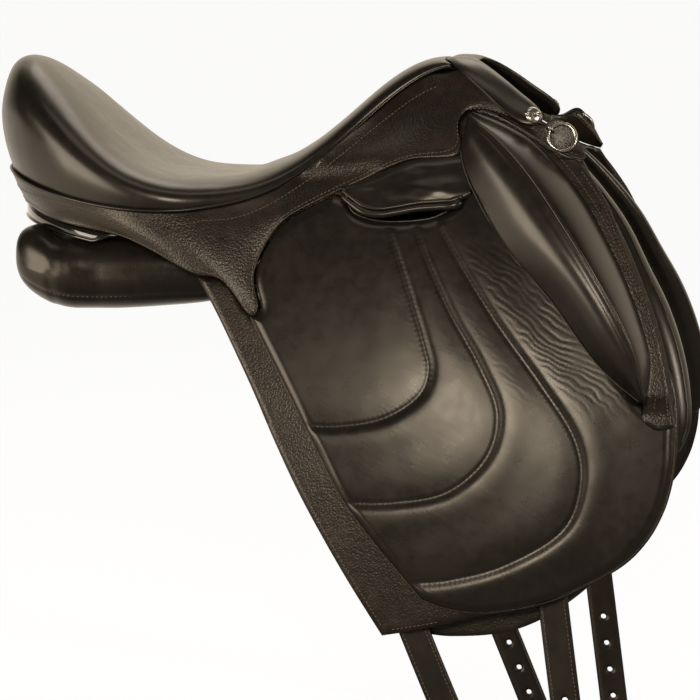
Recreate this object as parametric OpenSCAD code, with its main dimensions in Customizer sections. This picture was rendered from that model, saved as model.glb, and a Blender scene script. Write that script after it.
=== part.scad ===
// Dressage saddle. Millimetres, +X towards the pommel, +Z up, mirror plane at Y = 0.
// The origin is on the horse's back under the deepest point of the seat.

/* [Seat] */
// Distance from the origin back to the cantle
cantle_back = 216; // [200:1:235]
// Height of the cantle crest
cantle_z = 219; // [205:1:235]
// Height of the point where the cantle reaches furthest back
cantle_mid_z = 175; // [165:1:185]
// Length over which the cantle crest rounds off
cantle_nose = 25; // [18:1:32]
// Height of the deepest point of the seat
seat_low_z = 124; // [119:1:132]
// Distance from the deepest point of the seat back to the origin
seat_low_back = 20; // [10:1:30]
// Distance from the origin forward to the pommel end of the seat
pommel_x = 178; // [172:1:184]
// Height of the pommel
pommel_z = 219; // [212:1:226]
// Half-width of the seat where it is widest
seat_half_w = 137; // [130:1:144]
// Distance from the widest place of the seat back to the origin
seat_wide_back = 60; // [45:1:75]
// Half-width of the seat at the pommel
pommel_half_w = 42; // [39:1:46]
// Drop from the middle of the seat to its edge
seat_edge_drop = 21; // [16:1:26]
// Drop from the middle of the pommel to its edge
pommel_edge_drop = 5; // [3:1:8]
// Depth of the dish across the seat
seat_dish = 5; // [0:1:8]
// Drop from the widest line of the cantle to the seat seam
seam_drop_rear = 54; // [48:1:58]
// Drop from the widest line of the seat to the seam at the twist
seam_drop = 3; // [2:1:5]
// How far the seam lies inside the back of the cantle
seam_inset = 12; // [8:1:16]
// Thickness of the seat leather
cover_t = 2.5; // [1.5:0.1:4]
// Diameter of the welt along the seat seam
welt_d = 4; // [3:0.5:5]

/* [Drape] */
// Half-breadth of the flaps where they hang straight down
spread = 206; // [198:1:216]
// Height at which the flaps hang straight down
drape_z = -300; // [-320:5:-280]
// Radius of the flaps' drape over the barrel
drape_r = 900; // [860:10:1000]
// Place along the saddle where the flaps stand out furthest
bow_x = 130; // [110:5:150]
// Radius of the flaps' bow towards the shoulder
bow_front_r = 1200; // [1000:50:1600]
// Radius of the flaps' bow towards the loin
bow_rear_r = 4000; // [3000:100:6000]

/* [Skirt and pommel] */
// Thickness of the skirt leather
skirt_t = 3; // [2:0.1:4]
// Swell of the skirt between its edges
skirt_swell = 4; // [2:0.5:6]
// Width of the smooth pommel facing
facing_w = 26; // [22:1:30]
// Thickness of the smooth pommel facing with its padding
facing_t = 10; // [8:0.5:12]
// Diameter of the slotted stud on the pommel
stud_d = 15; // [12:0.5:17]
// Height of the stud's head
stud_h = 3; // [2:0.5:4]
// Inside diameter of the dee ring
ring_d = 20; // [17:0.5:21]
// Diameter of the dee ring's wire
ring_wire = 3.5; // [3:0.1:4]
// Diameter of the staple that holds the dee ring
staple_wire = 2; // [1.5:0.1:2.5]

/* [Flap] */
// Thickness of the flap leather
flap_t = 4; // [3:0.1:5]
// Thickness of the smooth padded face of the flap
pad_t = 7; // [5:0.5:9]
// Depth of the sewn channels in the padded face
channel_depth = 4; // [2:0.5:4.5]
// Width of a sewn channel
channel_w = 14; // [10:1:18]
// Height of the line where the lower flap bends
bend_z = -95; // [-105:1:-88]
// Height of the lowest edge of the padded face
pad_low_z = -231; // [-240:1:-222]
// Height of the lowest edge of the flap leather
flap_low_z = -252; // [-262:1:-244]
// Furthest forward reach of the flap
flap_front_x = 390; // [384:1:398]
// Width of the grained strip along the rear of the flap
strip_w = 33; // [26:1:40]
// Thickness of the grained strip along the front of the flap
border_t = 2.5; // [1.5:0.1:3.5]
// Height that the knee block stands out from the flap
block_h = 42; // [34:1:50]
// Height of the stirrup leather's slot
slot_h = 10; // [8:0.5:12]
// Diameter of the rolled lip over the slot
lip_d = 7; // [5:0.5:8]

/* [Under the flap] */
// Thickness of the sweat flap
sweat_t = 3.5; // [2.5:0.1:4.5]
// Room between the flap and the sweat flap
girth_room = 15; // [13:0.5:17]
// Thickness of the roll along the front of the panel
roll_t = 24; // [20:1:28]
// Width of the roll along the front of the panel
roll_w = 34; // [28:1:40]
// Width of a girth billet
billet_w = 25; // [20:1:28]
// Thickness of a girth billet
billet_t = 4.5; // [3.5:0.1:5]
// Height of a billet's lower end
billet_end_z = -405; // [-430:5:-395]
// Diameter of a billet's buckle holes
hole_d = 5; // [4:0.5:6]
// Distance between a billet's buckle holes
hole_pitch = 25; // [20:1:28]
// Number of buckle holes in a billet
hole_count = 4; // [3:1:4]

/* [Panel] */
// Width of the channel over the spine
channel_gap = 68; // [60:1:80]
// Half-width of the rear panel
panel_half_w = 50; // [46:1:53]
// Depth of the rear panel
panel_depth = 67; // [60:1:69]

/* [Tree] */
// Thickness of the tree
tree_t = 8; // [6:0.5:9]
// Width of the tree's rails
rail_w = 40; // [34:1:44]
// Thickness of the gullet plate
gullet_t = 4; // [3:0.5:5]
// Width of the gullet plate
gullet_w = 30; // [24:1:34]
// Length of the stirrup bar's finger
bar_len = 58; // [50:1:62]
// Thickness of the stirrup bar's finger
bar_t = 4.5; // [3.5:0.1:5]
// Height of the stirrup bar's finger
bar_h = 12; // [10:0.5:14]
// Gap between the stirrup bar's finger and its plate
bar_gap = 8.5; // [7:0.5:9]
// Length of the safety catch
catch_len = 20; // [16:1:22]
// Diameter of the safety catch's pin
pin_d = 3; // [2.5:0.1:3.5]
// Clearance around the safety catch's pin
pin_clear = 0.05; // [0.02:0.01:0.1]
// Width of the girth webbing
web_w = 34; // [28:1:40]
// Thickness of the webbing
web_t = 2; // [1.5:0.1:2.5]

/* [Hidden] */
// Clearance between soft pieces that lie against each other
seat_clear = 0.3;
// Clearance at the flap's bend line
bend_clear = 0.6;
// Small overlap of a cutting solid past the face that it cuts
eps = 0.5;
$fn = 48;

SIDES = ["right", "left"];
PAIRED = [
    "skirt", "welt", "stud", "dee_ring", "dee_staple", "bar_cover", "slot_lip",
    "flap_upper", "flap_lower", "flap_pad_upper", "flap_pad_lower", "front_border",
    "knee_block", "sweat_flap", "knee_roll", "front_billet", "rear_billet",
    "panel", "panel_rim", "stirrup_bar", "bar_catch", "catch_pin"
];
CENTRE = [
    "seat_cover", "seat_foam", "seat_webbing", "tree", "gullet_plate",
    "bar_rivets", "front_girth_web", "rear_girth_web",
    "pommel_facing", "channel_lining"
];

smooth_black = [0.10, 0.09, 0.08];
grained_black = [0.14, 0.12, 0.10];
bright_steel = [0.72, 0.72, 0.70];
webbing_cream = [0.82, 0.76, 0.62];

// Interpolation

function lerp(a, b, t) = a + (b - a) * t;
function clamp01(t) = min(max(t, 0), 1);
function ease(t) = let (c = clamp01(t)) c * c * (3 - 2 * c);
function unit(v) = v / norm(v);

// Catmull-Rom curve through the points p, at t from 0 to 1
function through(a, b, c, d, t) =
    0.5 * (2 * b + (c - a) * t + (2 * a - 5 * b + 4 * c - d) * t * t
           + (3 * b - a - 3 * c + d) * t * t * t);
function spline(p, t) =
    let (n = len(p) - 1, s = clamp01(t) * n, i = min(floor(s), n - 1))
    through(p[max(i - 1, 0)], p[i], p[i + 1], p[min(i + 2, n)], s - i);
function sampled(p, n) = [for (k = [0 : n]) spline(p, k / n)];

// Four-sided patch between edge curves that share their corners
function coons(top, bottom, left, right, u, v) =
    (1 - v) * spline(top, u) + v * spline(bottom, u)
    + (1 - u) * spline(left, v) + u * spline(right, v)
    - (1 - u) * (1 - v) * top[0] - u * (1 - v) * top[len(top) - 1]
    - (1 - u) * v * bottom[0] - u * v * bottom[len(bottom) - 1];
function patch(top, bottom, left, right, nu, nv) =
    [for (i = [0 : nv]) [for (j = [0 : nu]) coons(top, bottom, left, right, j / nu, i / nv)]];

// Distance from the point q to the polyline p
function to_segment(q, a, b) =
    let (d = b - a, t = clamp01((q - a) * d / (d * d))) norm(q - a - d * t);
function to_line(q, p) = min([for (i = [0 : len(p) - 2]) to_segment(q, p[i], p[i + 1])]);

// Closed solids from points

// Polyhedron whose faces are turned to face outwards
module solid(points, faces) {
    sixths = [for (f = faces) cross(points[f[0]], points[f[1]]) * points[f[2]]];
    volume = sixths * [for (f = faces) 1];
    polyhedron(points, volume > 0 ? [for (f = faces) [f[2], f[1], f[0]]] : faces);
}

function quad(a, b, c, d) = [[a, b, c], [a, c, d]];

// Sheet between the grids a and b; weld joins both ends of the first row
module shell(a, b, weld = false) {
    n = len(a);
    m = len(a[0]);
    size = n * m;
    function at(i, j) = (weld && i == 0) ? min(j, m - 1 - j) : i * m + j;
    function real(f) = f[0] != f[1] && f[1] != f[2] && f[0] != f[2];
    skin = [for (i = [0 : n - 2], j = [0 : m - 2])
            each quad(at(i, j), at(i + 1, j), at(i + 1, j + 1), at(i, j + 1))];
    sides = [for (i = [0 : n - 2], j = [0, m - 1])
             each quad(at(i, j), at(i, j) + size, at(i + 1, j) + size, at(i + 1, j))];
    ends = [for (i = weld ? [n - 1] : [0, n - 1], j = [0 : m - 2])
            each quad(at(i, j), at(i, j) + size, at(i, j + 1) + size, at(i, j + 1))];
    // Edge faces turn with the side that they close
    edges = concat(
        [for (k = [0 : len(sides) - 1]) floor(k / 2) % 2 == 0 ? sides[k] : turned(sides[k])],
        [for (k = [0 : len(ends) - 1])
         (weld || k >= 2 * (m - 1)) ? ends[k] : turned(ends[k])]
    );
    faces = concat(
        [for (f = skin) if (real(f)) f],
        [for (f = skin) if (real(f)) turned(f) + [size, size, size]],
        [for (f = edges) if (real(f)) f]
    );
    solid(concat([for (r = a) each r], [for (r = b) each r]), faces);
}

function turned(f) = [f[2], f[1], f[0]];

// Solid through closed rings of points, with flat ends or joined end to end
module loft(rings, closed = false) {
    n = len(rings);
    m = len(rings[0]);
    last = closed ? n - 1 : n - 2;
    skin = [for (i = [0 : last], j = [0 : m - 1])
            each quad(i * m + j, ((i + 1) % n) * m + j,
                      ((i + 1) % n) * m + (j + 1) % m, i * m + (j + 1) % m)];
    caps = closed ? [] : concat(
        [for (j = [1 : m - 2]) [0, j, j + 1]],
        [for (j = [1 : m - 2]) [0, j + 1, j] + (n - 1) * [m, m, m]]
    );
    solid([for (r = rings) each r], concat(skin, caps));
}

function tangent(p, i) = unit(p[min(i + 1, len(p) - 1)] - p[max(i - 1, 0)]);

// Round tube along the path p
module tube(p, d, sides = 8) {
    loft([for (i = [0 : len(p) - 1])
          let (t = tangent(p, i), a = unit(cross(t, [0.31, 0.52, 0.8])), b = cross(t, a))
          [for (k = [0 : sides - 1])
           p[i] + d / 2 * (a * cos(360 * k / sides) + b * sin(360 * k / sides))]]);
}

// Flat strap along the path p, with its width along the direction w
module strap(p, w, width, thick) {
    loft([for (i = [0 : len(p) - 1])
          let (n = unit(cross(tangent(p, i), w)), a = unit(w) * width / 2, b = n * thick / 2)
          [p[i] + a + b, p[i] - a + b, p[i] - a - b, p[i] + a - b]]);
}

module mirrored(side) {
    if (side == "left") mirror([0, 1, 0]) children();
    else children();
}

// Seat

seat_low_x = -seat_low_back;
wide_x = -seat_wide_back;
crest_x = cantle_nose - cantle_back;
seat_curve = 1.55;
edge_low_z = seat_low_z - seat_edge_drop;
nose_share = 0.16;
// How far the seat's front corners reach past its middle at the pommel
pommel_sweep = 11;

// Height of the middle of the seat
function crest(x) =
    let (back = x < seat_low_x,
         s = back ? (x - seat_low_x) / (crest_x - seat_low_x)
                  : (x - seat_low_x) / (pommel_x - seat_low_x))
    lerp(seat_low_z, back ? cantle_z : pommel_z,
         pow((1 - cos(180 * clamp01(s))) / 2, seat_curve));

// Half-width of the seat in plan
function plan(x) = x < wide_x
    ? seat_half_w * sqrt(max(0, 1 - pow((wide_x - x) / (wide_x + cantle_back), 2)))
    : lerp(seat_half_w, pommel_half_w, (1 - cos(180 * (x - wide_x) / (pommel_x - wide_x))) / 2);

// Height of the widest line of the seat
function widest_z(x) = x < seat_low_x
    ? edge_low_z + (cantle_mid_z - edge_low_z)
                   * pow((seat_low_x - x) / (seat_low_x + cantle_back), 1.7)
    : crest(x) - lerp(seat_edge_drop, pommel_edge_drop,
                      ease((x - seat_low_x) / (pommel_x - seat_low_x) * 2.5 - 1.5));

function seam_fall(x) =
    let (s = (x + cantle_back) / (pommel_x - 119 + cantle_back))
    seam_drop + (seam_drop_rear - seam_drop) * pow(max(0, 1 - s), 1.6);

// Half-row r of the seat, from 0 at the back of the cantle to 1 at the pommel:
// the crest point, the widest point and the seam point on the right
function seat_row(r) =
    let (turn = 90 * clamp01(r / nose_share),
         s = clamp01((r - nose_share) / (1 - nose_share)),
         rise = lerp(35, 90, turn / 90),
         cx = s > 0 ? lerp(crest_x, pommel_x, s) : crest_x - cantle_nose * cos(rise),
         cz = s > 0 ? crest(cx) : cantle_mid_z + (cantle_z - cantle_mid_z) * sin(rise),
         wx = s > 0 ? lerp(crest_x + 0.5 * cantle_nose, pommel_x, s)
                    : -cantle_back + 1.5 * cantle_nose * (1 - cos(turn)),
         w = plan(wx),
         wz = widest_z(wx),
         a = wide_x + cantle_back,
         out = wx < wide_x
             ? unit([(wx - wide_x) / (a * a), w / (seat_half_w * seat_half_w)]) : [0, 1],
         tuck = 1 + (seam_inset - 1) * pow(1 - r, 2),
         swept = wx + pommel_sweep * ease(5 * s - 4))
    [[cx, 0, cz], [swept, -w, wz],
     [swept - tuck * out[0], -(w - tuck * out[1]), wz - seam_fall(wx)]];

function seam(r) = seat_row(r)[2];

// Point of the seat's surface at t from 0 on the crest to 1 on the seam
over_share = 0.72;
function seat_point(r, t) =
    let (row = seat_row(r), c = row[0], w = row[1], e = row[2],
         power = lerp(3.4, 2.3, ease((c[0] + cantle_back) / (cantle_back + 0.5 * pommel_x))),
         angle = 90 * clamp01(t / over_share),
         up = pow(cos(angle), 2 / power),
         down = clamp01((t - over_share) / (1 - over_share)),
         dish = seat_dish * pow(cos(angle), 4) * ease(s_dish(c[0])))
    t <= over_share
        ? [lerp(w[0], c[0], up), w[1] * pow(sin(angle), 2 / power), lerp(w[2], c[2], up) - dish]
        : [lerp(w[0], e[0], down * down), lerp(w[1], e[1], down * down),
           lerp(w[2], e[2], down)];
function s_dish(x) = min((x - crest_x) / 40, (0.2 * pommel_x - x) / 40);

cover_rows = 24;
cover_cols = 8;
function row_at(i) = i / cover_rows;
function mirror_y(p) = [p[0], -p[1], p[2]];

// Whole rows of the seat from the right seam over the crest to the left seam,
// drawn in by depth towards the middle of the section
function seat_grid(depth, first = 0, last = cover_rows) =
    [for (i = [first : last])
     let (row = seat_row(row_at(i)),
          core = [lerp(row[1][0], row[0][0], 0.3) + (i < 6 ? 6 - i : 0), 0, row[2][2] + 6],
          half = [for (k = [0 : cover_cols])
                  let (p = seat_point(row_at(i), k / cover_cols), d = p - core)
                  depth == 0 ? p : p - unit(d) * min(depth, 0.6 * norm(d))])
     concat([for (k = [cover_cols : -1 : 0]) half[k]],
            [for (k = [1 : cover_cols]) mirror_y(half[k])])];

module seat_cover() {
    color(smooth_black) shell(seat_grid(0), seat_grid(cover_t), weld = true);
}

module seat_foam() {
    color("khaki") loft(seat_grid(cover_t + seat_clear, 2, cover_rows - 2));
}

// Webbing under the foam from the pommel to the cantle
web_half_w = 30;
function under_foam(x, gap) =
    let (first = crest_x + 0.5 * cantle_nose,
         r = nose_share + (1 - nose_share) * (x - first) / (pommel_x - first))
    seam(r)[2] - gap;
module seat_webbing() {
    xs = [for (k = [0 : 12]) lerp(-0.72 * cantle_back, 0.62 * pommel_x, k / 12)];
    function row(x, gap) =
        [for (s = [-1, 0, 1]) [x, s * min(web_half_w, 0.6 * plan(x)), under_foam(x, gap)]];
    color(webbing_cream)
        shell([for (x = xs) row(x, 1)], [for (x = xs) row(x, 1 + web_t)]);
}

// Side surface that the flaps lie on

function drape(x, z) =
    spread - drape_r + sqrt(drape_r * drape_r - pow(max(z, drape_z) - drape_z, 2))
    - pow(x - bow_x, 2) / (2 * (x > bow_x ? bow_front_r : bow_rear_r));
function on_side(p, off) = [p[0], -(drape(p[0], p[1]) + off), p[1]];
function side_grid(g, off) = [for (r = g) [for (p = r) on_side(p, off)]];

module side_sheet(g, inner, outer) {
    shell(side_grid(g, outer), side_grid(g, inner));
}

// Outline of the skirt's lower edge, from the loin forward round the flap's top.
// Heights are set from the seat's deepest point, lengths from the pommel end.

function from_seat(x, down) = [pommel_x + 8 + x, seat_low_z - down];
skirt_rear = [from_seat(-276, 52), from_seat(-246, 62), from_seat(-206, 81)];
skirt_lobe = [from_seat(-178, 88), from_seat(-155, 115), from_seat(-148, 110),
              from_seat(-153, 80)];
skirt_over_flap = [from_seat(-134, 42), from_seat(-98, 20), from_seat(-62, 3)];
skirt_over_slot = [from_seat(-28, -12), from_seat(14, -17)];
block_tip = [from_seat(9, -44), from_seat(17, -55), from_seat(46, -49)];
pommel_foot = [from_seat(82, -29), from_seat(101, -18), from_seat(119, -12)];

rim_inset = 23;
rim_drop = 26;
// Half-breadth where the skirt's lower edge passes round the cantle
function rim_half(x) =
    (seat_half_w - 9) * sqrt(max(0, 1 - pow((wide_x - x) / (wide_x + cantle_back - rim_inset), 2)));
function skirt_low(p, off = 0) =
    let (h = p[0] < wide_x ? min(drape(p[0], p[1]), rim_half(p[0])) : drape(p[0], p[1]))
    [p[0], -(h + off), p[1]];

// Line of the smooth facing from the stud over the pommel, right half
facing_x = pommel_x + facing_w / 2 + seat_clear;
facing_mid = [
    on_side([facing_x + 77, pommel_z - 52], 10.6), on_side([facing_x + 54, pommel_z - 36], 9.1),
    lerp([facing_x + 34, -17 - pommel_half_w, pommel_z - 20],
         on_side([facing_x + 34, pommel_z - 20], 7.8), 0.5),
    [facing_x + 16, -46, pommel_z - 7],
    [facing_x + 5, -29, pommel_z - 1], [facing_x + 1, -13, pommel_z - 2],
    [facing_x, 0, pommel_z - 5]
];
facing_up = [
    [0.42, -0.80, 0.42], [0.40, -0.74, 0.54], [0.36, -0.66, 0.66], [0.28, -0.52, 0.80],
    [0.14, -0.30, 0.94], [0.04, -0.12, 0.99], [0, 0, 1]
];
function facing_across(i) = unit(cross(facing_up[i], tangent(facing_mid, i)));
// Edge of the facing that the skirt meets
function facing_edge(i) =
    facing_mid[i] + facing_across(i) * ((i == 0 ? 0.6 : 1) * facing_w / 2 + 5 * seat_clear)
    - facing_up[i] * facing_t * 0.35;

// Direction that faces away from the seat at the seam
function seam_out(r) = let (row = seat_row(r), d = row[1] - row[2]) unit([d[0], d[1], 0]);
function under_seam(r) = seam(r) + seam_out(r) * seat_clear - [0, 0, 0.5];
rear_rows = [0, 0.08, 0.17, 0.25, 0.33];
mid_rows = [0.42, 0.49, 0.53, 0.56, 0.59, 0.64, 0.72, 0.79, 0.89];

rim_line = [
    [rim_inset - cantle_back, 0, 0], [rim_inset + 10 - cantle_back, 0, 0],
    [rim_inset + 50 - cantle_back, 0, 0]
];
// Lower edge of the cantle part of the skirt, over the panel's rim
function cantle_foot(x) = lerp(seat_low_z - 52, seam(0)[2] - rim_drop,
                               pow(clamp01((wide_x - 32 - x) / (cantle_back - rim_inset + wide_x - 32)), 1.4));
function rim_point(p, off = 0) = [p[0], -(rim_half(p[0]) + off), cantle_foot(p[0])];

seam_rows = concat(rear_rows, mid_rows);
skirt_front = concat(
    [under_seam(seam_rows[len(seam_rows) - 1]), seam(1) + [1, -2, -3]],
    [for (i = [3, 2, 1, 0]) facing_edge(i)],
    [on_side([pommel_x + 103, pommel_z - 57], 6.1), on_side([pommel_x + 129, pommel_z - 80], -3.6)]
);
skirt_foot = concat(
    [for (p = rim_line) rim_point(p)],
    [for (p = skirt_rear) skirt_low(p)],
    [for (p = skirt_lobe) skirt_low(p)],
    [for (p = skirt_over_flap) skirt_low(p)],
    [for (p = skirt_over_slot) skirt_low(p)],
    [for (p = block_tip) skirt_low(p)],
    [for (p = pommel_foot) skirt_low(p)]
);

// Upper edge of the skirt: along the seam, then along the facing
function skirt_top(u) =
    let (share = (len(seam_rows) - 1) / (len(seam_rows) + len(skirt_front) - 2))
    u <= share ? under_seam(spline(seam_rows, u / share))
               : spline(skirt_front, (u - share) / (1 - share));

skirt_cols = 40;
skirt_steps = 6;
// Skirt surface, swollen between its edges and lifted by off
function skirt_point(u, v, off) =
    let (a = skirt_top(u), b = spline(skirt_foot, u),
         away = unit([-0.9 * ease(1.6 - 9 * u) + 0.3 * ease(10 * u - 8.6), -1, 0.25 * ease(9 * u)]))
    lerp(a, b, v) + away * (off + skirt_swell * 4 * v * (1 - v) * ease(4 - 4 * u));
function skirt_grid(off) =
    [for (k = [0 : skirt_steps])
     [for (j = [0 : skirt_cols]) skirt_point(j / skirt_cols, k / skirt_steps, off)]];

module skirt() {
    color(grained_black) shell(skirt_grid(skirt_t), skirt_grid(0));
}

// How far the seat stands out over the seam at the height h above it
function seam_bulge(r, h) =
    let (row = seat_row(r), d = row[1] - row[2], k = max(0, 1 - h / d[2]))
    norm([d[0], d[1]]) * (1 - k * k);
welt_lift = 0.9;
module welt() {
    path = [for (k = [0 : 36])
            let (r = lerp(0.012, 0.955, k / 36))
            seam(r) + seam_out(r) * (welt_d / 2 + 2 * seat_clear + seam_bulge(r, welt_lift + welt_d))
            + [0, 0, welt_lift + welt_d / 2]];
    color(smooth_black) tube(path, welt_d, 6);
}

// Pommel facing, one piece over the head from stud to stud
function facing_ring(i, mirror_it) =
    let (a = facing_across(i) * facing_w / 2, n = facing_up[i] * facing_t / 2,
         taper = i == 0 ? 0.6 : 1,
         ring = [for (k = [0 : 9])
                 facing_mid[i] + taper * a * pow_sign(cos(36 * k), 0.7)
                 + n * pow_sign(sin(36 * k), 0.7)])
    mirror_it ? [for (k = [0 : 9]) mirror_y(ring[k])] : ring;
function pow_sign(v, p) = sign(v) * pow(abs(v), p);

module pommel_facing() {
    n = len(facing_mid) - 1;
    color(smooth_black) loft(concat(
        [for (i = [0 : n]) facing_ring(i, false)],
        [for (i = [n - 1 : -1 : 0]) facing_ring(i, true)]
    ));
}

// Places a piece with its base at p and its axis along n
module stand_on(p, n) {
    translate(p) rotate([0, acos(n[2]), atan2(n[1], n[0])]) children();
}

stud_up = unit([0.42, -0.80, 0.42]);
stud_at = lerp(facing_mid[0], facing_mid[1], 0.32) + stud_up * (facing_t / 2 + 8 * seat_clear);
slot_w = 1.6;
module stud() {
    color(bright_steel) stand_on(stud_at, stud_up) difference() {
        cylinder(d = stud_d, h = stud_h);
        translate([-slot_w / 2, -stud_d, stud_h / 2]) cube([slot_w, 2 * stud_d, stud_h]);
    }
}

// Dee ring, flat on the skirt in front of the stud, in its staple
ring_u = 0.955;
ring_v = 0.35;
ring_up = unit(cross(skirt_point(ring_u, ring_v + 0.1, 0) - skirt_point(ring_u, ring_v - 0.1, 0),
                     skirt_point(ring_u + 0.015, ring_v, 0) - skirt_point(ring_u - 0.015, ring_v, 0)));
ring_mid = skirt_point(ring_u, ring_v, skirt_t) + ring_up * (ring_wire / 2 + 3 * seat_clear);
ring_r = (ring_d + ring_wire) / 2;
hang_dir = unit(cross(cross(ring_up, [-0.85, 0, 0.53]), ring_up));
ring_hinge = ring_mid + hang_dir * ring_r;
module dee_ring() {
    color(bright_steel) stand_on(ring_mid, ring_up)
        rotate_extrude() translate([ring_r, 0]) circle(d = ring_wire);
}

staple_r = (ring_wire + staple_wire) / 2 + seat_clear;
module dee_staple() {
    arc = [for (k = [0 : 8]) let (a = 180 * k / 8)
           ring_hinge + staple_r * (hang_dir * cos(a) + ring_up * sin(a))];
    legs = ring_wire / 2 + seat_clear;
    color(bright_steel) tube(concat([arc[0] - ring_up * legs], arc, [arc[8] - ring_up * legs]),
                             staple_wire, 8);
}

// Flap outline

strip_top = [skirt_lobe[0][0] - 24, seat_low_z - 86];
bend_rear = [58, bend_z];
bend_pad = [bend_rear[0] + strip_w, bend_z];
bend_front = [flap_front_x - 2, bend_z];
pad_corner = [185, pad_low_z + 10];
chin = [flap_front_x - 15, bend_z - 57];
front_top = pommel_foot[2] + [0, -bend_clear];
edge_gap = [0, -bend_clear];

pad_rear_upper = [skirt_lobe[1] + [1.5, -2.5], [62, -44], bend_pad];
pad_rear_lower = [bend_pad, [124, -150], pad_corner];
slot_low = seat_low_z - 39;
slot_mid = [pommel_x - 36, slot_low];
slot_rear = [pommel_x - 70, slot_low + 17];
slot_front = [pommel_x + 24, slot_low + 14];
// Lower lip of the stirrup leather's slot, from the skirt's edge forward
slot_sill = [slot_rear, [slot_rear[0] + 9, slot_low + 6], slot_mid,
             [slot_mid[0] + 38, slot_low + 3], slot_front];
skirt_to_slot = [
    skirt_lobe[1] + [1.5, -2.5], skirt_lobe[2] + [bend_clear + 2, -1], skirt_lobe[3] + [2, -1],
    skirt_over_flap[0] + [1, -1.5], skirt_over_flap[1] + [1, -1.5]
];
pad_head = concat(skirt_to_slot, slot_sill, [[slot_front[0] + 6, slot_front[1] + 16]]);

// Rear and front edges of the knee block on the flap
block_rear = [block_tip[0] + [7, -22], from_seat(26, 6), from_seat(58, 56), from_seat(98, 100),
              from_seat(140, 153), from_seat(178, 185)];
block_front = [block_tip[1] + [5, -3], from_seat(52, -41), from_seat(86, -20), from_seat(121, 18),
               from_seat(151, 68), from_seat(171, 112), from_seat(182, 150), from_seat(179, 186)];
block_ridge = [block_tip[1] + [3, -4], from_seat(48, -32), from_seat(78, -3), from_seat(112, 42),
               from_seat(134, 75), from_seat(156, 112), from_seat(172, 148), from_seat(179, 186)];

pad_front_upper = concat(
    [pad_head[len(pad_head) - 1]],
    [for (k = [2 : 4]) block_rear[k] + [-2, -3]],
    [from_seat(172, 196), bend_front + [-8, 12], bend_front]
);
flap_front_upper = [front_top, from_seat(155, 50), from_seat(176, 95), from_seat(187, 123),
                    from_seat(198, 163), [flap_front_x, bend_z + 16], bend_front];
flap_rear_upper = [strip_top, [6, 3], [35, -49], bend_rear];
flap_rear_lower = [bend_rear, [83, -142], [118, -200], [152, flap_low_z]];
flap_head = concat(
    [strip_top, skirt_lobe[0] + edge_gap, skirt_lobe[1] + edge_gap],
    [for (k = [1 : 4]) skirt_to_slot[k]],
    [for (k = [0 : 4]) slot_sill[k]],
    [[slot_front[0] + 8, slot_front[1] + 30], block_tip[0] + [bend_clear, -4],
     block_tip[1] + [1, -2], block_tip[2] + [0, -2], pommel_foot[0] + [0, -1],
     pommel_foot[1] + [0, -1], front_top]
);
below = [0, -bend_clear];
pad_bottom = [pad_corner, [228, pad_low_z], [282, pad_low_z + 9], [331, pad_low_z + 35], chin];
flap_bottom = [[152, flap_low_z], [196, flap_low_z + 8], [230, pad_low_z - 4],
               [284, pad_low_z + 6], [333, pad_low_z + 32], chin + [2, -2]];
pad_front_lower = [bend_front, [flap_front_x - 6, bend_z - 30], chin];
flap_front_lower = [bend_front, [flap_front_x - 5, bend_z - 31], chin + [2, -2]];

// Moves the first point of an edge down by the bend's clearance
function dropped(p) = [for (i = [0 : len(p) - 1]) i == 0 ? p[0] + below : p[i]];
bend_line = [bend_rear, lerp(bend_rear, bend_front, 0.5), bend_front];
pad_line = [bend_pad, lerp(bend_pad, bend_front, 0.5), bend_front];
function shifted(p, d) = [for (q = p) q + d];

flap_out = 0;
pad_in = flap_out + seat_clear;

module flap_upper() {
    g = patch(flap_head, bend_line, flap_rear_upper, flap_front_upper, 22, 8);
    color(grained_black) side_sheet(g, flap_out - flap_t, flap_out);
}

module flap_lower() {
    g = patch(shifted(bend_line, below), flap_bottom, dropped(flap_rear_lower),
              dropped(flap_front_lower), 12, 10);
    color(grained_black) side_sheet(g, flap_out - flap_t, flap_out);
}

// Sewn channels of the padded face, as lines on the flap
channel_lines = [
    [[145, 80], [163, 36], [180, -10], [186, -34], [178, -55], [150, -73], [113, -80], [84, -80]],
    [[167, 82], [179, 55], [203, 10], [228, -30], [244, -68], [236, -104], [204, -132],
     [160, -141], [122, -142]],
    [[186, 85], [204, 57], [240, 5], [276, -41], [307, -86], [314, -124], [300, -162],
     [255, -190], [210, -203], [172, -207]]
];
channel_paths = [for (c = channel_lines) sampled(c, 24)];

// Thickness of the padded face at the point q, drawn in at its edges and channels
function pad_depth(q, u, v, soft_top, soft_bottom) =
    let (d = min([for (c = channel_paths) to_line(q, c)]),
         sewn = 1 - exp(-pow(2 * d / channel_w, 2)),
         side = ease(8 * min(u, 1 - u) + 0.35),
         ends = min(soft_top ? ease(8 * v + 0.35) : 1, soft_bottom ? ease(8 * (1 - v) + 0.35) : 1))
    pad_t * min(side, ends) - channel_depth * (1 - sewn) * min(side, ends);

module pad_sheet(top, bottom, left, right, nu, nv, soft_top, soft_bottom) {
    g = patch(top, bottom, left, right, nu, nv);
    face = [for (i = [0 : nv]) [for (j = [0 : nu])
            on_side(g[i][j], pad_in + pad_depth(g[i][j], j / nu, i / nv, soft_top, soft_bottom))]];
    shell(face, side_grid(g, pad_in));
}

module flap_pad_upper() {
    color(smooth_black)
        pad_sheet(pad_head, pad_line, pad_rear_upper, pad_front_upper, 18, 13, true, false);
}

module flap_pad_lower() {
    color(smooth_black)
        pad_sheet(shifted(pad_line, below), pad_bottom, dropped(pad_rear_lower),
                  dropped(pad_front_lower), 18, 10, false, true);
}

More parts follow.
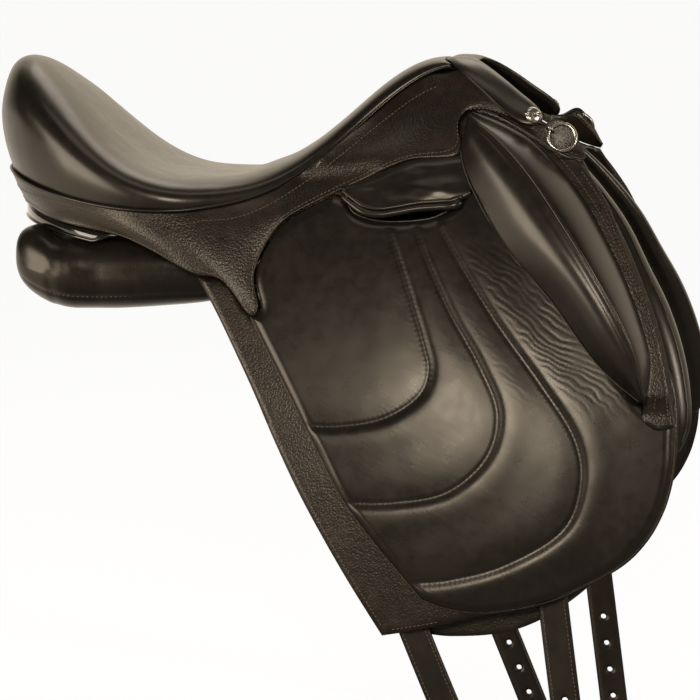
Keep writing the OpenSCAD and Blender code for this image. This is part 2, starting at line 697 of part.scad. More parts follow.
// Leather over the stirrup bar, between the skirt and the slot
cover_sill = [slot_rear + [3, 4], slot_sill[1] + [0, slot_h + lip_d / 2],
              slot_mid + [0, slot_h + lip_d / 2], slot_sill[3] + [0, slot_h + lip_d / 2],
              slot_front + [-4, 6]];
bar_cover_head = [lerp(skirt_over_flap[1], skirt_over_flap[2], 0.35) + [0, -2], skirt_over_flap[2] + [1, -2],
                  skirt_over_slot[0] + [0, -2], skirt_over_slot[1] + [-4, -2]];
module bar_cover() {
    g = patch(bar_cover_head, cover_sill, [bar_cover_head[0], cover_sill[0]],
              [bar_cover_head[3], cover_sill[4]], 10, 4);
    color(smooth_black) side_sheet(g, -flap_t, pad_t - 2);
}

module slot_lip() {
    path = [for (k = [0 : 14])
            let (p = spline([for (q = cover_sill) q], lerp(0.08, 0.9, k / 14)))
            on_side(p, pad_t - 2 + lip_d / 2 + seat_clear)];
    color(smooth_black) tube(path, lip_d, 8);
}

// Grained strip in front of the knee block
module front_border() {
    left = [for (k = [2 : 7]) block_front[k] + [3, 1]];
    right = [front_top + [-2, -1], from_seat(140, 21), from_seat(155, 52), from_seat(175, 97),
             from_seat(186, 125), from_seat(196, 162), from_seat(203, 203)];
    top = [left[0], pommel_foot[1] + [0, -3], right[0]];
    bottom = [left[5], from_seat(193, 196), right[6]];
    color(grained_black)
        side_sheet(patch(top, bottom, left, right, 4, 14), pad_in, pad_in + border_t);
}

// Knee block: rings across it from its upper tip to its lower tip
module knee_block() {
    n = 14;
    function ring(s) =
        let (a = spline(block_rear, s), b = spline(block_front, s), r = spline(block_ridge, s),
             h = block_h * pow(sin(180 * lerp(0.06, 0.97, s)), 0.55))
        concat(
            [for (k = [0 : 3]) let (t = k / 4)
             on_side(lerp(a, r, t), pad_in + 1 + (h - 1) * pow(sin(90 * t), 0.85))],
            [for (k = [0 : 3]) let (t = k / 4)
             on_side(lerp(r, b, pow(t, 1.2)), pad_in + 1 + (h - 1) * pow(cos(90 * t), 0.6))],
            [on_side(b, pad_in + 1), on_side(b, pad_in), on_side(lerp(a, b, 0.5), pad_in),
             on_side(a, pad_in)]
        );
    color(smooth_black) loft([for (k = [0 : n]) ring(lerp(0.03, 0.985, k / n))]);
}

// Sweat flap and girth billets

sweat_out = flap_out - flap_t - girth_room;
// Rows over which the sweat flap turns in to its seam on the panel's outer edge
sewn_rows = 3;
// Place along the saddle where the roll takes over the sweat flap's front edge
roll_start = 340;
module sweat_flap() {
    hem = [for (k = [5 : 10]) panel_ring(k)[15]];
    function on_hem(x, off) = [x, lookup(x, [for (p = hem) [p[0], p[1]]]) - 2 * seat_clear - sweat_t - off,
                               lookup(x, [for (p = hem) [p[0], p[2]]])];
    function sewn(i, x) = pow(max(0, 1 - i / sewn_rows), 1.5) * (i == 0 ? 1 : ease((roll_start - x) / 40));
    head = [[24, 6], [110, 12], [200, 12], [pommel_x + 84, 6]];
    foot = [[170, flap_low_z + 2], [208, flap_low_z - 3], [263, flap_low_z + 4],
            [314, flap_low_z + 34], [374, bend_z - 62]];
    rear = [head[0], [48, -49], [94, -142], foot[0]];
    front = [head[3], [372, -25], [flap_front_x + 1, bend_z], foot[4]];
    g = patch(head, foot, rear, front, 14, 14);
    function face(off) =
        [for (i = [0 : 14]) [for (p = g[i])
         lerp(on_side(p, sweat_out + off), on_hem(p[0], off), sewn(i, p[0]))]];
    color(grained_black) shell(face(0), face(-sweat_t));
}

// Share of the girth's room in front of each billet's middle, so that it swings clear of the flap
billet_share = [0.57, 0.43];
function billet_mid(k) = flap_out - flap_t - billet_share[k] * girth_room;
billet_tops = [[258, 34], [62, 30]];
billet_lean = [7.5, 22.5];
billet_round = 6;
function billet_at(k, z) =
    [billet_tops[k][0] + (billet_tops[k][1] - z) * tan(billet_lean[k]), z];
// Half-breadth of a billet's middle: it follows the drape, then hangs straight
function billet_y(k, z) = -(drape(billet_at(k, z)[0], z) + billet_mid(k));

module billet(k) {
    along = [sin(billet_lean[k]), 0, -cos(billet_lean[k])];
    across = [cos(billet_lean[k]), 0, sin(billet_lean[k])];
    low = drape_z;
    y = billet_y(k, low);
    start = [billet_at(k, low)[0], y, low];
    length = (low - billet_end_z) / cos(billet_lean[k]);
    path = [for (i = [0 : 12]) let (z = lerp(billet_tops[k][1] + 12, low, i / 12))
            [billet_at(k, z)[0], billet_y(k, z), z]];
    color(grained_black) difference() {
        union() {
            strap(path, across, billet_w, billet_t);
            translate(start) rotate([0, -billet_lean[k], 0]) {
                translate([-billet_w / 2, -billet_t / 2, billet_w / 2 - length])
                    cube([billet_w, billet_t, length - billet_w / 2]);
                translate([0, billet_t / 2, billet_w / 2 - length]) rotate([90, 0, 0])
                    cylinder(d = billet_w, h = billet_t);
            }
        }
        for (i = [0 : hole_count - 1])
            translate(start + along * (length - billet_w - i * hole_pitch))
                rotate([90, 0, 0]) cylinder(d = hole_d, h = 2 * billet_t, center = true);
    }
}

module front_billet() { billet(0); }
module rear_billet() { billet(1); }

// Webbing from the tree down to the top of a billet
module girth_web(k, start) {
    top = billet_tops[k];
    beside = billet_t / 2 + web_t / 2 + 4 * seat_clear + 0.2 * billet_w * sin(billet_lean[k]);
    foot = [[top[0], billet_y(k, top[1] + 10) + beside, top[1] + 10],
            [top[0], billet_y(k, top[1] - 10) + beside, top[1] - 10]];
    color(webbing_cream) for (s = SIDES) mirrored(s)
        strap(concat(start, foot), [1, 0, 0], web_w, web_t);
}
// The front web lies on the gullet plate's arm
module front_girth_web() {
    off = (gullet_t + web_t) / 2 + seat_clear;
    n = unit(cross([1, 0, 0], gullet_line[1] - gullet_line[0]));
    side = n[1] < 0 ? n : -n;
    girth_web(0, [for (t = [0.9, 0.4]) lerp(gullet_line[0], gullet_line[1], t) + side * off]);
}
// The rear web hangs on the edge of the tree's rail
module rear_girth_web() {
    x = billet_tops[1][0] - 10;
    y = -(wing_half(x - web_w / 2) + web_t / 2 + seat_clear);
    girth_web(1, [[x, y, wing_z(x) + 2], [x, y, wing_z(x) - tree_t - 3]]);
}

// Roll along the front edge of the panel
module knee_roll() {
    edge = [from_seat(102, -16), from_seat(127, 12), from_seat(149, 42), from_seat(167, 76),
            from_seat(184, 108), from_seat(197, 142), from_seat(205, 175), from_seat(208, 205),
            from_seat(202, 228)];
    n = 16;
    function ring(s) =
        let (p = spline(edge, s), size = pow(sin(180 * lerp(0.06, 0.95, s)), 0.35))
        [for (k = [0 : 9])
         on_side(p + [roll_w * size * (0.5 * cos(36 * k) - 0.25), 0],
                 sweat_out - sweat_t - roll_t / 2 * (1 - size * sin(36 * k) / sin(72)))];
    color(smooth_black) loft([for (k = [0 : n]) ring(k / n)]);
}

// Panel

panel_rows = [
    [0.00, 0.24, 0.26, 0.74, 8, 1], [0.025, 0.56, 0.76, 0.66, 8, 1], [0.08, 0.72, 0.93, 0.55, 6, 1],
    [0.17, 0.85, 0.99, 0.50, 0, 8], [0.32, 0.86, 0.92, 0.54, 0, 8], [0.42, 0.78, 0.76, 0.57, 4, 19],
    [0.52, 0.68, 0.62, 0.64, 12, 29], [0.64, 0.70, 0.52, 0.80, 26, 28], [0.78, 0.80, 0.46, 1.00, 44, 25],
    [0.92, 0.86, 0.40, 1.18, 54, 22], [0.98, 0.78, 0.32, 1.20, 58, 27], [1.00, 0.56, 0.14, 1.20, 58, 38]
];
panel_back = cantle_back - 31;
panel_front_x = pommel_x + 92;
panel_low_z = 3;
// Ring of the panel's section at the station k: place along the panel, shares of its
// half-width and half-depth, share of its depth that its middle is raised, tilt, and
// least room between it and the flap's line
function panel_ring(k) =
    let (row = panel_rows[k], x = lerp(-panel_back, panel_front_x, row[0]),
         tilt = row[4],
         under = drape(x, panel_low_z + panel_depth * row[3]) - row[5],
         inner = channel_gap / 2 + 2 + 8 * row[0],
         full = panel_half_w * row[1],
         a = min(full, (under - inner) / (2 * cos(tilt))),
         b = panel_depth / 2 * row[2] * a / full,
         yc = row[0] < 0.15 ? channel_gap / 2 + panel_half_w
                            : inner + a * cos(tilt),
         zc = panel_low_z + panel_depth * row[3])
    [for (j = [0 : 15])
     let (u = pow_sign(cos(22.5 * j), 0.62) * a, v = pow_sign(sin(22.5 * j), 0.72) * b)
     [x, -(yc + u * cos(tilt) + v * sin(tilt)), zc - u * sin(tilt) + v * cos(tilt)]];

module panel() {
    color(smooth_black) loft([for (k = [0 : len(panel_rows) - 1]) panel_ring(k)]);
}

// Glossy rim between the seat and the rear panel
rim_t = 3;
rim_h = 12;
module panel_rim() {
    xs = [for (k = [0 : 14]) lerp(rim_inset + 4 - cantle_back, wide_x - 28, pow(k / 14, 1.6))];
    function rail(x, out, down) = [x, -(rim_half(x) - 1.5 + out), cantle_foot(x) - down];
    color(smooth_black) loft([for (x = xs) [
        rail(x, -rim_t, 1), rail(x, 0, 1), rail(x, 3, rim_h), rail(x, 1.5, rim_h)]]);
}

// Lining over the channel between the panels
module channel_lining() {
    lining_t = 3;
    rows = [for (k = [0 : 12]) k / 12];
    function row(s, lift) =
        let (x = lerp(20 - panel_back, pommel_x + 6, s),
             zc = panel_low_z + panel_depth * 0.72 + (pommel_z - 32 - panel_depth) * pow(s, 3.2))
        [for (q = [-1, -0.6, 0, 0.6, 1])
         [x, q * (channel_gap / 2 + 3), zc - 10 * q * q * (1 + 2 * s) + lift]];
    color(smooth_black)
        shell([for (s = rows) row(s, lining_t)], [for (s = rows) row(s, 0)]);
}

// Tree

// Room between the flap and the tree's rails, which the stirrup bars fill
bar_room = 27;
// Half-breadth and height of the outer edge of the tree's rails
function wing_half(x) =
    let (s = clamp01((x + cantle_back) / (cantle_back + pommel_x)),
         at_bar = drape(pommel_x - 38, seat_low_z - 14) - bar_room)
    min(lerp(0.74 * seat_half_w, at_bar, ease(s * 1.3 - 0.1)), x < wide_x ? rim_half(x) - 14 : 200);
function wing_z(x) = under_foam(x, 10) - lerp(0, 42, ease((x - 20) / 90));

head_x = pommel_x - 12;
head_z = under_foam(head_x, 8);
module tree() {
    side = [for (k = [0 : 9]) lerp(0.64 * pommel_x, -0.78 * cantle_back, k / 9)];
    seat_x = 40 - cantle_back;
    function inner(x) = [x, -max(6, min(plan(x), wing_half(x)) - rail_w), under_foam(x, 8)];
    function outer(x) = [x, -wing_half(x), wing_z(x)];
    half = concat(
        [[[head_x - 30, 0, under_foam(head_x - 30, 6)], [head_x + 8, 0, head_z]]],
        [[[head_x - 36, -20, under_foam(head_x - 36, 8)], [head_x + 6, -34, head_z - 10]]],
        [for (x = side) [inner(x), outer(x)]],
        [[[seat_x + 26, 0, under_foam(seat_x + 20, 8)], [seat_x, 0, under_foam(seat_x, 10)]]]
    );
    n = len(half);
    stations = concat(half, [for (k = [n - 2 : -1 : 1]) [mirror_y(half[k][0]), mirror_y(half[k][1])]]);
    color("burlywood") loft([for (s = stations)
        [s[0], s[1], s[1] - [0, 0, tree_t], s[0] - [0, 0, tree_t]]], closed = true);
}

plate_z = head_z - tree_t / 2;
plate_x = head_x + 8 + gullet_w / 2 + seat_clear;
// Room between the flap and the arms of the gullet plate
arm_room = 26;
// Point of the arm under the flap at the height z
function arm_point(x, z, room) = on_side([x, z], -room);
gullet_line = [arm_point(pommel_x + 60, 42, arm_room), arm_point(pommel_x + 48, 100, arm_room - 8),
               arm_point(pommel_x + 30, 150, arm_room - 5),
               [plate_x + 3, -30, plate_z - 9], [plate_x, -12, plate_z]];
module gullet_plate() {
    path = concat(gullet_line, [for (k = [len(gullet_line) - 1 : -1 : 0]) mirror_y(gullet_line[k])]);
    color("gray") strap(path, [1, 0, 0], gullet_w, gullet_t);
}

rivet_d = 6;
rivet_h = 3;
// Stirrup bar: a plate on the tree's edge, a root block and an open finger
bar_front = pommel_x - 6;
bar_plate_h = 24;
bar_plate_t = 3.5;
bar_root = 12;
bar_z = seat_low_z - 14;
bar_in = wing_half(bar_front - 20) + seat_clear;
finger_in = bar_in + bar_plate_t + bar_gap;
pin_x = bar_front - bar_root - bar_len + 6;
fork = 7;
module stirrup_bar() {
    color(bright_steel) difference() {
        union() {
            translate([pin_x - 4, -bar_in - bar_plate_t, bar_z - bar_plate_h / 2])
                cube([bar_front - pin_x + 4, bar_plate_t, bar_plate_h]);
            translate([bar_front - bar_root, -finger_in - bar_t, bar_z - bar_h / 2])
                cube([bar_root, bar_t + bar_gap + eps, bar_h]);
            translate([pin_x - fork + 2, -finger_in - bar_t, bar_z - bar_h / 2])
                cube([bar_front - pin_x + fork - 2, bar_t, bar_h]);
        }
        translate([pin_x - fork - eps, -finger_in - 0.7 * bar_t, bar_z - bar_h])
            cube([2 * fork + eps, 0.4 * bar_t, 2 * bar_h]);
        translate([pin_x, -finger_in + eps, bar_z]) rotate([90, 0, 0])
            cylinder(d = pin_d, h = bar_t + 2 * eps);
    }
}

// Safety catch in the finger's fork, lying back from its pin
catch_t = 0.4 * bar_t - 0.3;
module catch_shape(grow) {
    difference() {
        hull() {
            circle(d = 2 * pin_d + 1);
            translate([-catch_len, 0]) circle(d = pin_d);
        }
        circle(d = pin_d + 2 * grow);
    }
}
module bar_catch() {
    color(bright_steel) translate([pin_x, -finger_in - 0.7 * bar_t + 0.4 * bar_t - 0.15, bar_z])
        rotate([90, 0, 0]) linear_extrude(catch_t) catch_shape(pin_clear);
}

module catch_pin() {
    color(bright_steel) translate([pin_x, -finger_in, bar_z]) rotate([90, 0, 0])
        cylinder(d = pin_d, h = bar_t);
}

module bar_rivets() {
    for (s = SIDES, x = [bar_front - 20, pin_x + 12])
        color("gray") mirrored(s)
            translate([x, -bar_in - bar_plate_t, bar_z + bar_h / 2 + rivet_d / 2 - 1]) rotate([90, 0, 0])
                cylinder(d = rivet_d, h = rivet_h);
}

// One piece by name, on its own side
module piece(name) {
    if (name == "skirt") skirt();
    if (name == "welt") welt();
    if (name == "stud") stud();
    if (name == "dee_ring") dee_ring();
    if (name == "dee_staple") dee_staple();
    if (name == "bar_cover") bar_cover();
    if (name == "slot_lip") slot_lip();
    if (name == "flap_upper") flap_upper();
    if (name == "flap_lower") flap_lower();
    if (name == "flap_pad_upper") flap_pad_upper();
    if (name == "flap_pad_lower") flap_pad_lower();
    if (name == "front_border") front_border();
    if (name == "knee_block") knee_block();
    if (name == "sweat_flap") sweat_flap();
    if (name == "knee_roll") knee_roll();
    if (name == "front_billet") front_billet();
    if (name == "rear_billet") rear_billet();
    if (name == "panel") panel();
    if (name == "panel_rim") panel_rim();
    if (name == "stirrup_bar") stirrup_bar();
    if (name == "bar_catch") bar_catch();
    if (name == "catch_pin") catch_pin();
}

seat_cover();
seat_foam();
seat_webbing();
tree();
gullet_plate();
bar_rivets();
front_girth_web();
rear_girth_web();
pommel_facing();
channel_lining();
for (p = PAIRED, s = SIDES)
    mirrored(s) piece(p);
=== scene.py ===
"""Dressage saddle: leather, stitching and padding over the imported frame.

Lengths are in millimetres until a mesh is made, in the frame of the CAD model:
+X towards the pommel, +Z up, the right side of the saddle at negative Y.
"""
import math

import bpy
import numpy as np
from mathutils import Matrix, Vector
from mathutils.geometry import delaunay_2d_cdt


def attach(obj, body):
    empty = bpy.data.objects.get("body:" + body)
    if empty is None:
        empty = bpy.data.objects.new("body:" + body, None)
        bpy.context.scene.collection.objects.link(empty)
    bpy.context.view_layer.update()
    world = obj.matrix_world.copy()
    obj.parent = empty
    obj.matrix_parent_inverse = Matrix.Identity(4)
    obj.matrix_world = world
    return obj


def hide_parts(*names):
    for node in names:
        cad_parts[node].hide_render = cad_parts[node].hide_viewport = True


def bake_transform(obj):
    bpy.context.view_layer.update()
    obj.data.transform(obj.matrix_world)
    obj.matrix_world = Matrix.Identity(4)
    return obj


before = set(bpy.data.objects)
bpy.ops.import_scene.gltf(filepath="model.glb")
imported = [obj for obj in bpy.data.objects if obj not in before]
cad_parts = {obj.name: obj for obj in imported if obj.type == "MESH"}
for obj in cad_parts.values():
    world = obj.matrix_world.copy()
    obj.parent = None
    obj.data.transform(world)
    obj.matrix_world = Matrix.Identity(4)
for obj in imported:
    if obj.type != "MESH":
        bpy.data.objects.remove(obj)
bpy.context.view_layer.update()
MM = 0.001

# Sizes of the saddle, as in the part's source
CANTLE_BACK, CANTLE_Z, CANTLE_MID_Z, CANTLE_NOSE = 216, 219, 175, 25
SEAT_LOW_X, SEAT_LOW_Z, WIDE_X = -20, 124, -60
POMMEL_X, POMMEL_Z, POMMEL_HALF, SEAT_HALF = 178, 219, 42, 137
EDGE_DROP, POMMEL_DROP, DISH = 21, 5, 5
SEAM_DROP_REAR, SEAM_DROP, SEAM_INSET = 54, 3, 12
COVER_T, CLEAR = 2.5, 0.3
SPREAD, DRAPE_Z, DRAPE_R = 206, -300, 900
BOW_X, BOW_FRONT, BOW_REAR = 130, 1200, 4000
SKIRT_T, SWELL, FACING_W, FACING_T = 3, 4, 26, 10
FLAP_T, PAD_T = 4, 7
BEND_Z, PAD_LOW, FLAP_LOW, FLAP_FRONT, STRIP_W = -95, -231, -252, 390, 33
BORDER_T, BLOCK_H, LIP_D = 2.5, 42, 7
SWEAT_T, GIRTH_ROOM, ROLL_T, ROLL_W = 3.5, 15, 24, 34
BILLET_W, BILLET_T, BILLET_END, HOLE_D, HOLE_PITCH, HOLES = 25, 4.5, -405, 5, 25, 4
CHANNEL_GAP, PANEL_HALF, PANEL_DEPTH, PANEL_LOW = 68, 50, 67, 3
BEND_CLEAR = 0.6
CREST_X = CANTLE_NOSE - CANTLE_BACK
PAD_IN = CLEAR
SWEAT_OUT = -FLAP_T - GIRTH_ROOM


# Curves

def lerp(a, b, t):
    return a + (b - a) * t


def ease(t):
    c = np.clip(t, 0, 1)
    return c * c * (3 - 2 * c)


def unit(v):
    v = np.asarray(v, float)
    return v / np.maximum(np.linalg.norm(v, axis=-1, keepdims=True), 1e-9)


def arch(t):
    """Rise of a quarter circle, from 0 at t = 0 to 1 at t = 1."""
    return np.sqrt(np.clip(1 - (1 - np.clip(t, 0, 1)) ** 2, 0, 1))


def circle(n):
    """Angles of n points round a circle."""
    return np.linspace(0, 2 * np.pi, n, endpoint=False)


def lengths(p):
    """Length along a polyline at each of its points."""
    return np.r_[0, np.cumsum(np.linalg.norm(np.diff(p, axis=0), axis=1))]


def at_lengths(p, s, q):
    """Points at the lengths q of a polyline with the lengths s at its own points."""
    return np.stack([np.interp(q, s, p[:, k]) for k in range(p.shape[1])], 1)


def spline(points, t):
    """Smooth curve through the points, at t from 0 to 1."""
    p = np.asarray(points, float)
    n = len(p) - 1
    s = np.clip(np.asarray(t, float), 0, 1) * n
    i = np.minimum(np.floor(s).astype(int), n - 1)
    f = (s - i).reshape(s.shape + (1,) * (p.ndim - 1))
    a, b, c, d = p[np.maximum(i - 1, 0)], p[i], p[i + 1], p[np.minimum(i + 2, n)]
    return 0.5 * (2 * b + (c - a) * f + (2 * a - 5 * b + 4 * c - d) * f ** 2
                  + (3 * b - a - 3 * c + d) * f ** 3)


def even(points, step):
    """Points along a polyline, an equal step apart."""
    p = np.asarray(points, float)
    s = lengths(p)
    n = max(2, int(round(s[-1] / step)))
    return at_lengths(p, s, np.linspace(0, s[-1], n + 1))


def curve(points, step, samples=400):
    """Points an equal step apart along the smooth curve through the points."""
    return even(spline(points, np.linspace(0, 1, samples)), step)


CHUNK = 4000  # Points measured at a time


def nearest(q, path, closed=False):
    """Distance of each point of q from the path, the length along it there, and its side: 1 is the left."""
    p = np.asarray(path, float)
    if closed:
        p = np.vstack([p, p[:1]])
    a, d = p[:-1], np.diff(p, axis=0)
    length = np.maximum((d * d).sum(1), 1e-9)
    start = np.r_[0, np.cumsum(np.sqrt(length))][:-1]
    best, along, side = np.empty(len(q)), np.empty(len(q)), np.empty(len(q))
    for i in range(0, len(q), CHUNK):
        part = slice(i, i + CHUNK)
        w = q[part, None, :] - a[None]
        t = np.clip((w * d).sum(2) / length, 0, 1)
        e = np.linalg.norm(w - t[..., None] * d, axis=2)
        k = e.argmin(1)
        r = np.arange(len(k))
        best[part] = e[r, k]
        along[part] = start[k] + t[r, k] * np.sqrt(length[k])
        side[part] = np.sign(d[k, 0] * w[r, k, 1] - d[k, 1] * w[r, k, 0])
    return best, along, side


def inside(q, ring):
    """Whether each point of q lies inside the closed ring."""
    hit = np.zeros(len(q), bool)
    for a, b in zip(ring, np.roll(ring, -1, axis=0)):
        if a[1] == b[1]:
            continue
        over = (a[1] > q[:, 1]) != (b[1] > q[:, 1])
        hit ^= over & (q[:, 0] < (b[0] - a[0]) * (q[:, 1] - a[1]) / (b[1] - a[1]) + a[0])
    return hit


def noise(x, z, scale, seed):
    """Smooth noise from -1 to 1 with features of the given size."""
    table = np.random.default_rng(seed).uniform(-1, 1, (64, 64))
    u, v = np.asarray(x) / scale + 31.4, np.asarray(z) / scale + 27.1
    i, j = np.floor(u).astype(int), np.floor(v).astype(int)
    f, g = u - i, v - j
    f, g = f * f * (3 - 2 * f), g * g * (3 - 2 * g)

    def at(k, m):
        return table[(i + k) % 64, (j + m) % 64]
    return lerp(lerp(at(0, 0), at(1, 0), f), lerp(at(0, 1), at(1, 1), f), g)


def coons(top, bottom, left, right, u, v):
    """Four-sided patch between edge curves that share their corners."""
    u, v = np.broadcast_arrays(u, v)
    t, b, l, r = [np.asarray(c, float) for c in (top, bottom, left, right)]
    U, V = u[..., None], v[..., None]
    return ((1 - V) * spline(t, u) + V * spline(b, u) + (1 - U) * spline(l, v) + U * spline(r, v)
            - (1 - U) * (1 - V) * t[0] - U * (1 - V) * t[-1] - (1 - U) * V * b[0] - U * V * b[-1])


# Side surface that the flaps lie on

def drape(x, z):
    low = np.maximum(z, DRAPE_Z) - DRAPE_Z
    bow = np.where(x > BOW_X, BOW_FRONT, BOW_REAR)
    return SPREAD - DRAPE_R + np.sqrt(DRAPE_R ** 2 - low ** 2) - (x - BOW_X) ** 2 / (2 * bow)


def on_side(q, out):
    q = np.asarray(q, float)
    x, z = q[..., 0], q[..., 1]
    return np.stack([x, -(drape(x, z) + out), z], -1)


def side_up(q):
    """Outward direction of the right side at the points q."""
    q = np.asarray(q, float)
    x, z = q[..., 0], q[..., 1]
    hx = (drape(x + 1, z) - drape(x - 1, z)) / 2
    hz = (drape(x, z + 1) - drape(x, z - 1)) / 2
    return unit(np.stack([-hx, -np.ones_like(x), -hz], -1))


# Meshes as (points, faces)

def join(*shapes):
    """One shape from several."""
    points, faces, n = [], [], 0
    for v, f in shapes:
        points.append(v)
        faces += [[k + n for k in g] for g in f]
        n += len(v)
    return np.vstack(points), faces


def weld(shape, tol):
    """Joins points that coincide and drops the faces that vanish."""
    v, f = shape
    _, first, back = np.unique(np.round(v / tol).astype(np.int64), axis=0, return_index=True,
                               return_inverse=True)
    back = back.ravel()
    faces = []
    for g in f:
        g = [int(back[k]) for k in g]
        g = [k for i, k in enumerate(g) if k != g[i - 1]]
        if len(g) > 2 and len(set(g)) == len(g):
            faces.append(g)
    return v[first], faces


def grid(p, wrap=False):
    """Quads over an array of points; wrap closes the second direction."""
    n, m = p.shape[:2]
    last = m if wrap else m - 1
    i, j = np.meshgrid(np.arange(n - 1), np.arange(last), indexing="ij")
    k = (j + 1) % m
    f = np.stack([i * m + j, (i + 1) * m + j, (i + 1) * m + k, i * m + k], -1).reshape(-1, 4)
    return p.reshape(-1, 3), f.tolist()


def loft(rings):
    """Closed skin through rings of points, with its ends drawn to their middles."""
    r = np.asarray(rings, float)
    v, f = grid(r, wrap=True)
    n, m = r.shape[:2]
    last = (n - 1) * m
    v = np.vstack([v, r[0].mean(0), r[-1].mean(0)])
    f += [[j, (j + 1) % m, n * m] for j in range(m)]
    f += [[last + (j + 1) % m, last + j, n * m + 1] for j in range(m)]
    return outward((v, f))


def flipped(faces):
    return [g[::-1] for g in faces]


def mirror(shape):
    """The shape on the other side of the saddle."""
    return shape[0] * (1, -1, 1), flipped(shape[1])


def by_size(faces):
    """Faces as one array for each number of corners."""
    return [np.array([g for g in faces if len(g) == size]) for size in {len(g) for g in faces}]


def outward(shape):
    """Turns a closed shape's faces to face outwards."""
    v, f = shape
    volume = 0.0
    for q in by_size(f):
        for k in range(1, q.shape[1] - 1):
            volume += np.sum(np.cross(v[q[:, 0]], v[q[:, k]]) * v[q[:, k + 1]])
    return (v, f) if volume > 0 else (v, flipped(f))


def normals(shape):
    v, f = shape
    n = np.zeros_like(v)
    for q in by_size(f):
        c = np.cross(v[q[:, 1]] - v[q[:, 0]], v[q[:, -1]] - v[q[:, 0]])
        for k in range(q.shape[1]):
            np.add.at(n, q[:, k], c)
    return unit(n)


def turned(shape, way):
    """An open skin with its faces towards the given direction."""
    v, f = shape
    return (v, f) if normals(shape).mean(0) @ np.asarray(way, float) >= 0 else (v, flipped(f))


def shell(front, back, faces):
    """Closed sheet between two skins that share their faces."""
    n = len(front)
    edges = dict.fromkeys((a, b) for g in faces for a, b in zip(g, g[1:] + g[:1]))
    rim = [[b, a, a + n, b + n] for a, b in edges if (b, a) not in edges]
    return np.vstack([front, back]), faces + [[k + n for k in g] for g in flipped(faces)] + rim


def thicken(shape, depth):
    """Closed shell from an open skin, by a second skin at the given depth below it."""
    v, f = shape
    return shell(v, v - normals(shape) * depth, f)


def sections(path, up, shape):
    """Rings along a path: shape holds a ring of (across, up) offsets for each of its points."""
    t = unit(np.gradient(path, axis=0))
    side = unit(np.cross(up, t))
    n = unit(np.cross(t, side))
    return path[:, None] + side[:, None] * shape[..., :1] + n[:, None] * shape[..., 1:]


ODD_WAY = (0.31, 0.52, 0.8)  # A direction that no cord follows


def tube(path, d, sides, up=ODD_WAY):
    """Round cord along a path, with rounded ends."""
    p = np.asarray(path, float)
    s = lengths(p)
    r = d / 2
    end = r * (1 - np.cos(np.linspace(0, np.pi / 2, 5)[:-1]))
    q = np.r_[end, s[(s > r) & (s < s[-1] - r)], s[-1] - end[::-1]]
    size = np.sqrt(np.clip(1 - (np.maximum(0, np.maximum(r - q, q - s[-1] + r)) / r) ** 2, 0.0025, 1))
    a = circle(sides)
    ring = np.stack([np.cos(a), np.sin(a)], -1) * r
    return loft(sections(at_lengths(p, s, q), np.asarray(up, float), ring[None] * size[:, None, None]))


HEX_ROW = 0.87  # Height of a row of triangles, as a share of their side
NEAR = 0.6  # Distance from an edge within which no point is set, as the same share


def fill(ring, step, holes=()):
    """Triangles over the flat region inside a closed ring and outside its holes."""
    ring = np.asarray(ring, float)
    loops = [ring] + [np.asarray(h, float) for h in holes]
    lo, hi = ring.min(0), ring.max(0)
    rows = []
    for k, z in enumerate(np.arange(lo[1], hi[1], step * HEX_ROW)):
        x = np.arange(lo[0] + (k % 2) * step / 2, hi[0], step)
        rows.append(np.stack([x, np.full(len(x), z)], 1))
    hexes = np.vstack(rows)
    keep = inside(hexes, ring) & (nearest(hexes, ring, True)[0] > NEAR * step)
    for h in loops[1:]:
        keep &= ~inside(hexes, h) & (nearest(hexes, h, True)[0] > NEAR * step)
    pts = np.vstack(loops + [hexes[keep]])
    edges, n = [], 0
    for l in loops:
        edges += [(n + k, n + (k + 1) % len(l)) for k in range(len(l))]
        n += len(l)
    v, _, f = delaunay_2d_cdt([Vector(p) for p in pts.tolist()], edges, [], 0, 1e-5)[:3]
    out = np.array([tuple(p) for p in v])
    tri = np.array([g for g in f if len(g) == 3])
    mid = out[tri].mean(1)
    ok = inside(mid, ring)
    for h in loops[1:]:
        ok &= ~inside(mid, h)
    tri = tri[ok]
    c = np.cross(out[tri[:, 1]] - out[tri[:, 0]], out[tri[:, 2]] - out[tri[:, 0]])
    tri[c < 0] = tri[c < 0][:, ::-1]
    return out, tri.tolist()


def side_slab(ring, step, front, back, edge):
    """Sheet on the side surface inside a ring, from the height back out to front(q), with its edge eased."""
    q, f = fill(ring, step)
    soft = arch(nearest(q, ring, True)[0] / edge)
    face = front(q)
    mid = (face + back) / 2
    return shell(on_side(q, lerp(np.maximum(face - edge, mid), face, soft)),
                 on_side(q, lerp(np.minimum(back + edge, mid), back, soft)), f)


STITCH_SIDES, STITCH_SLANT = 6, 0.10


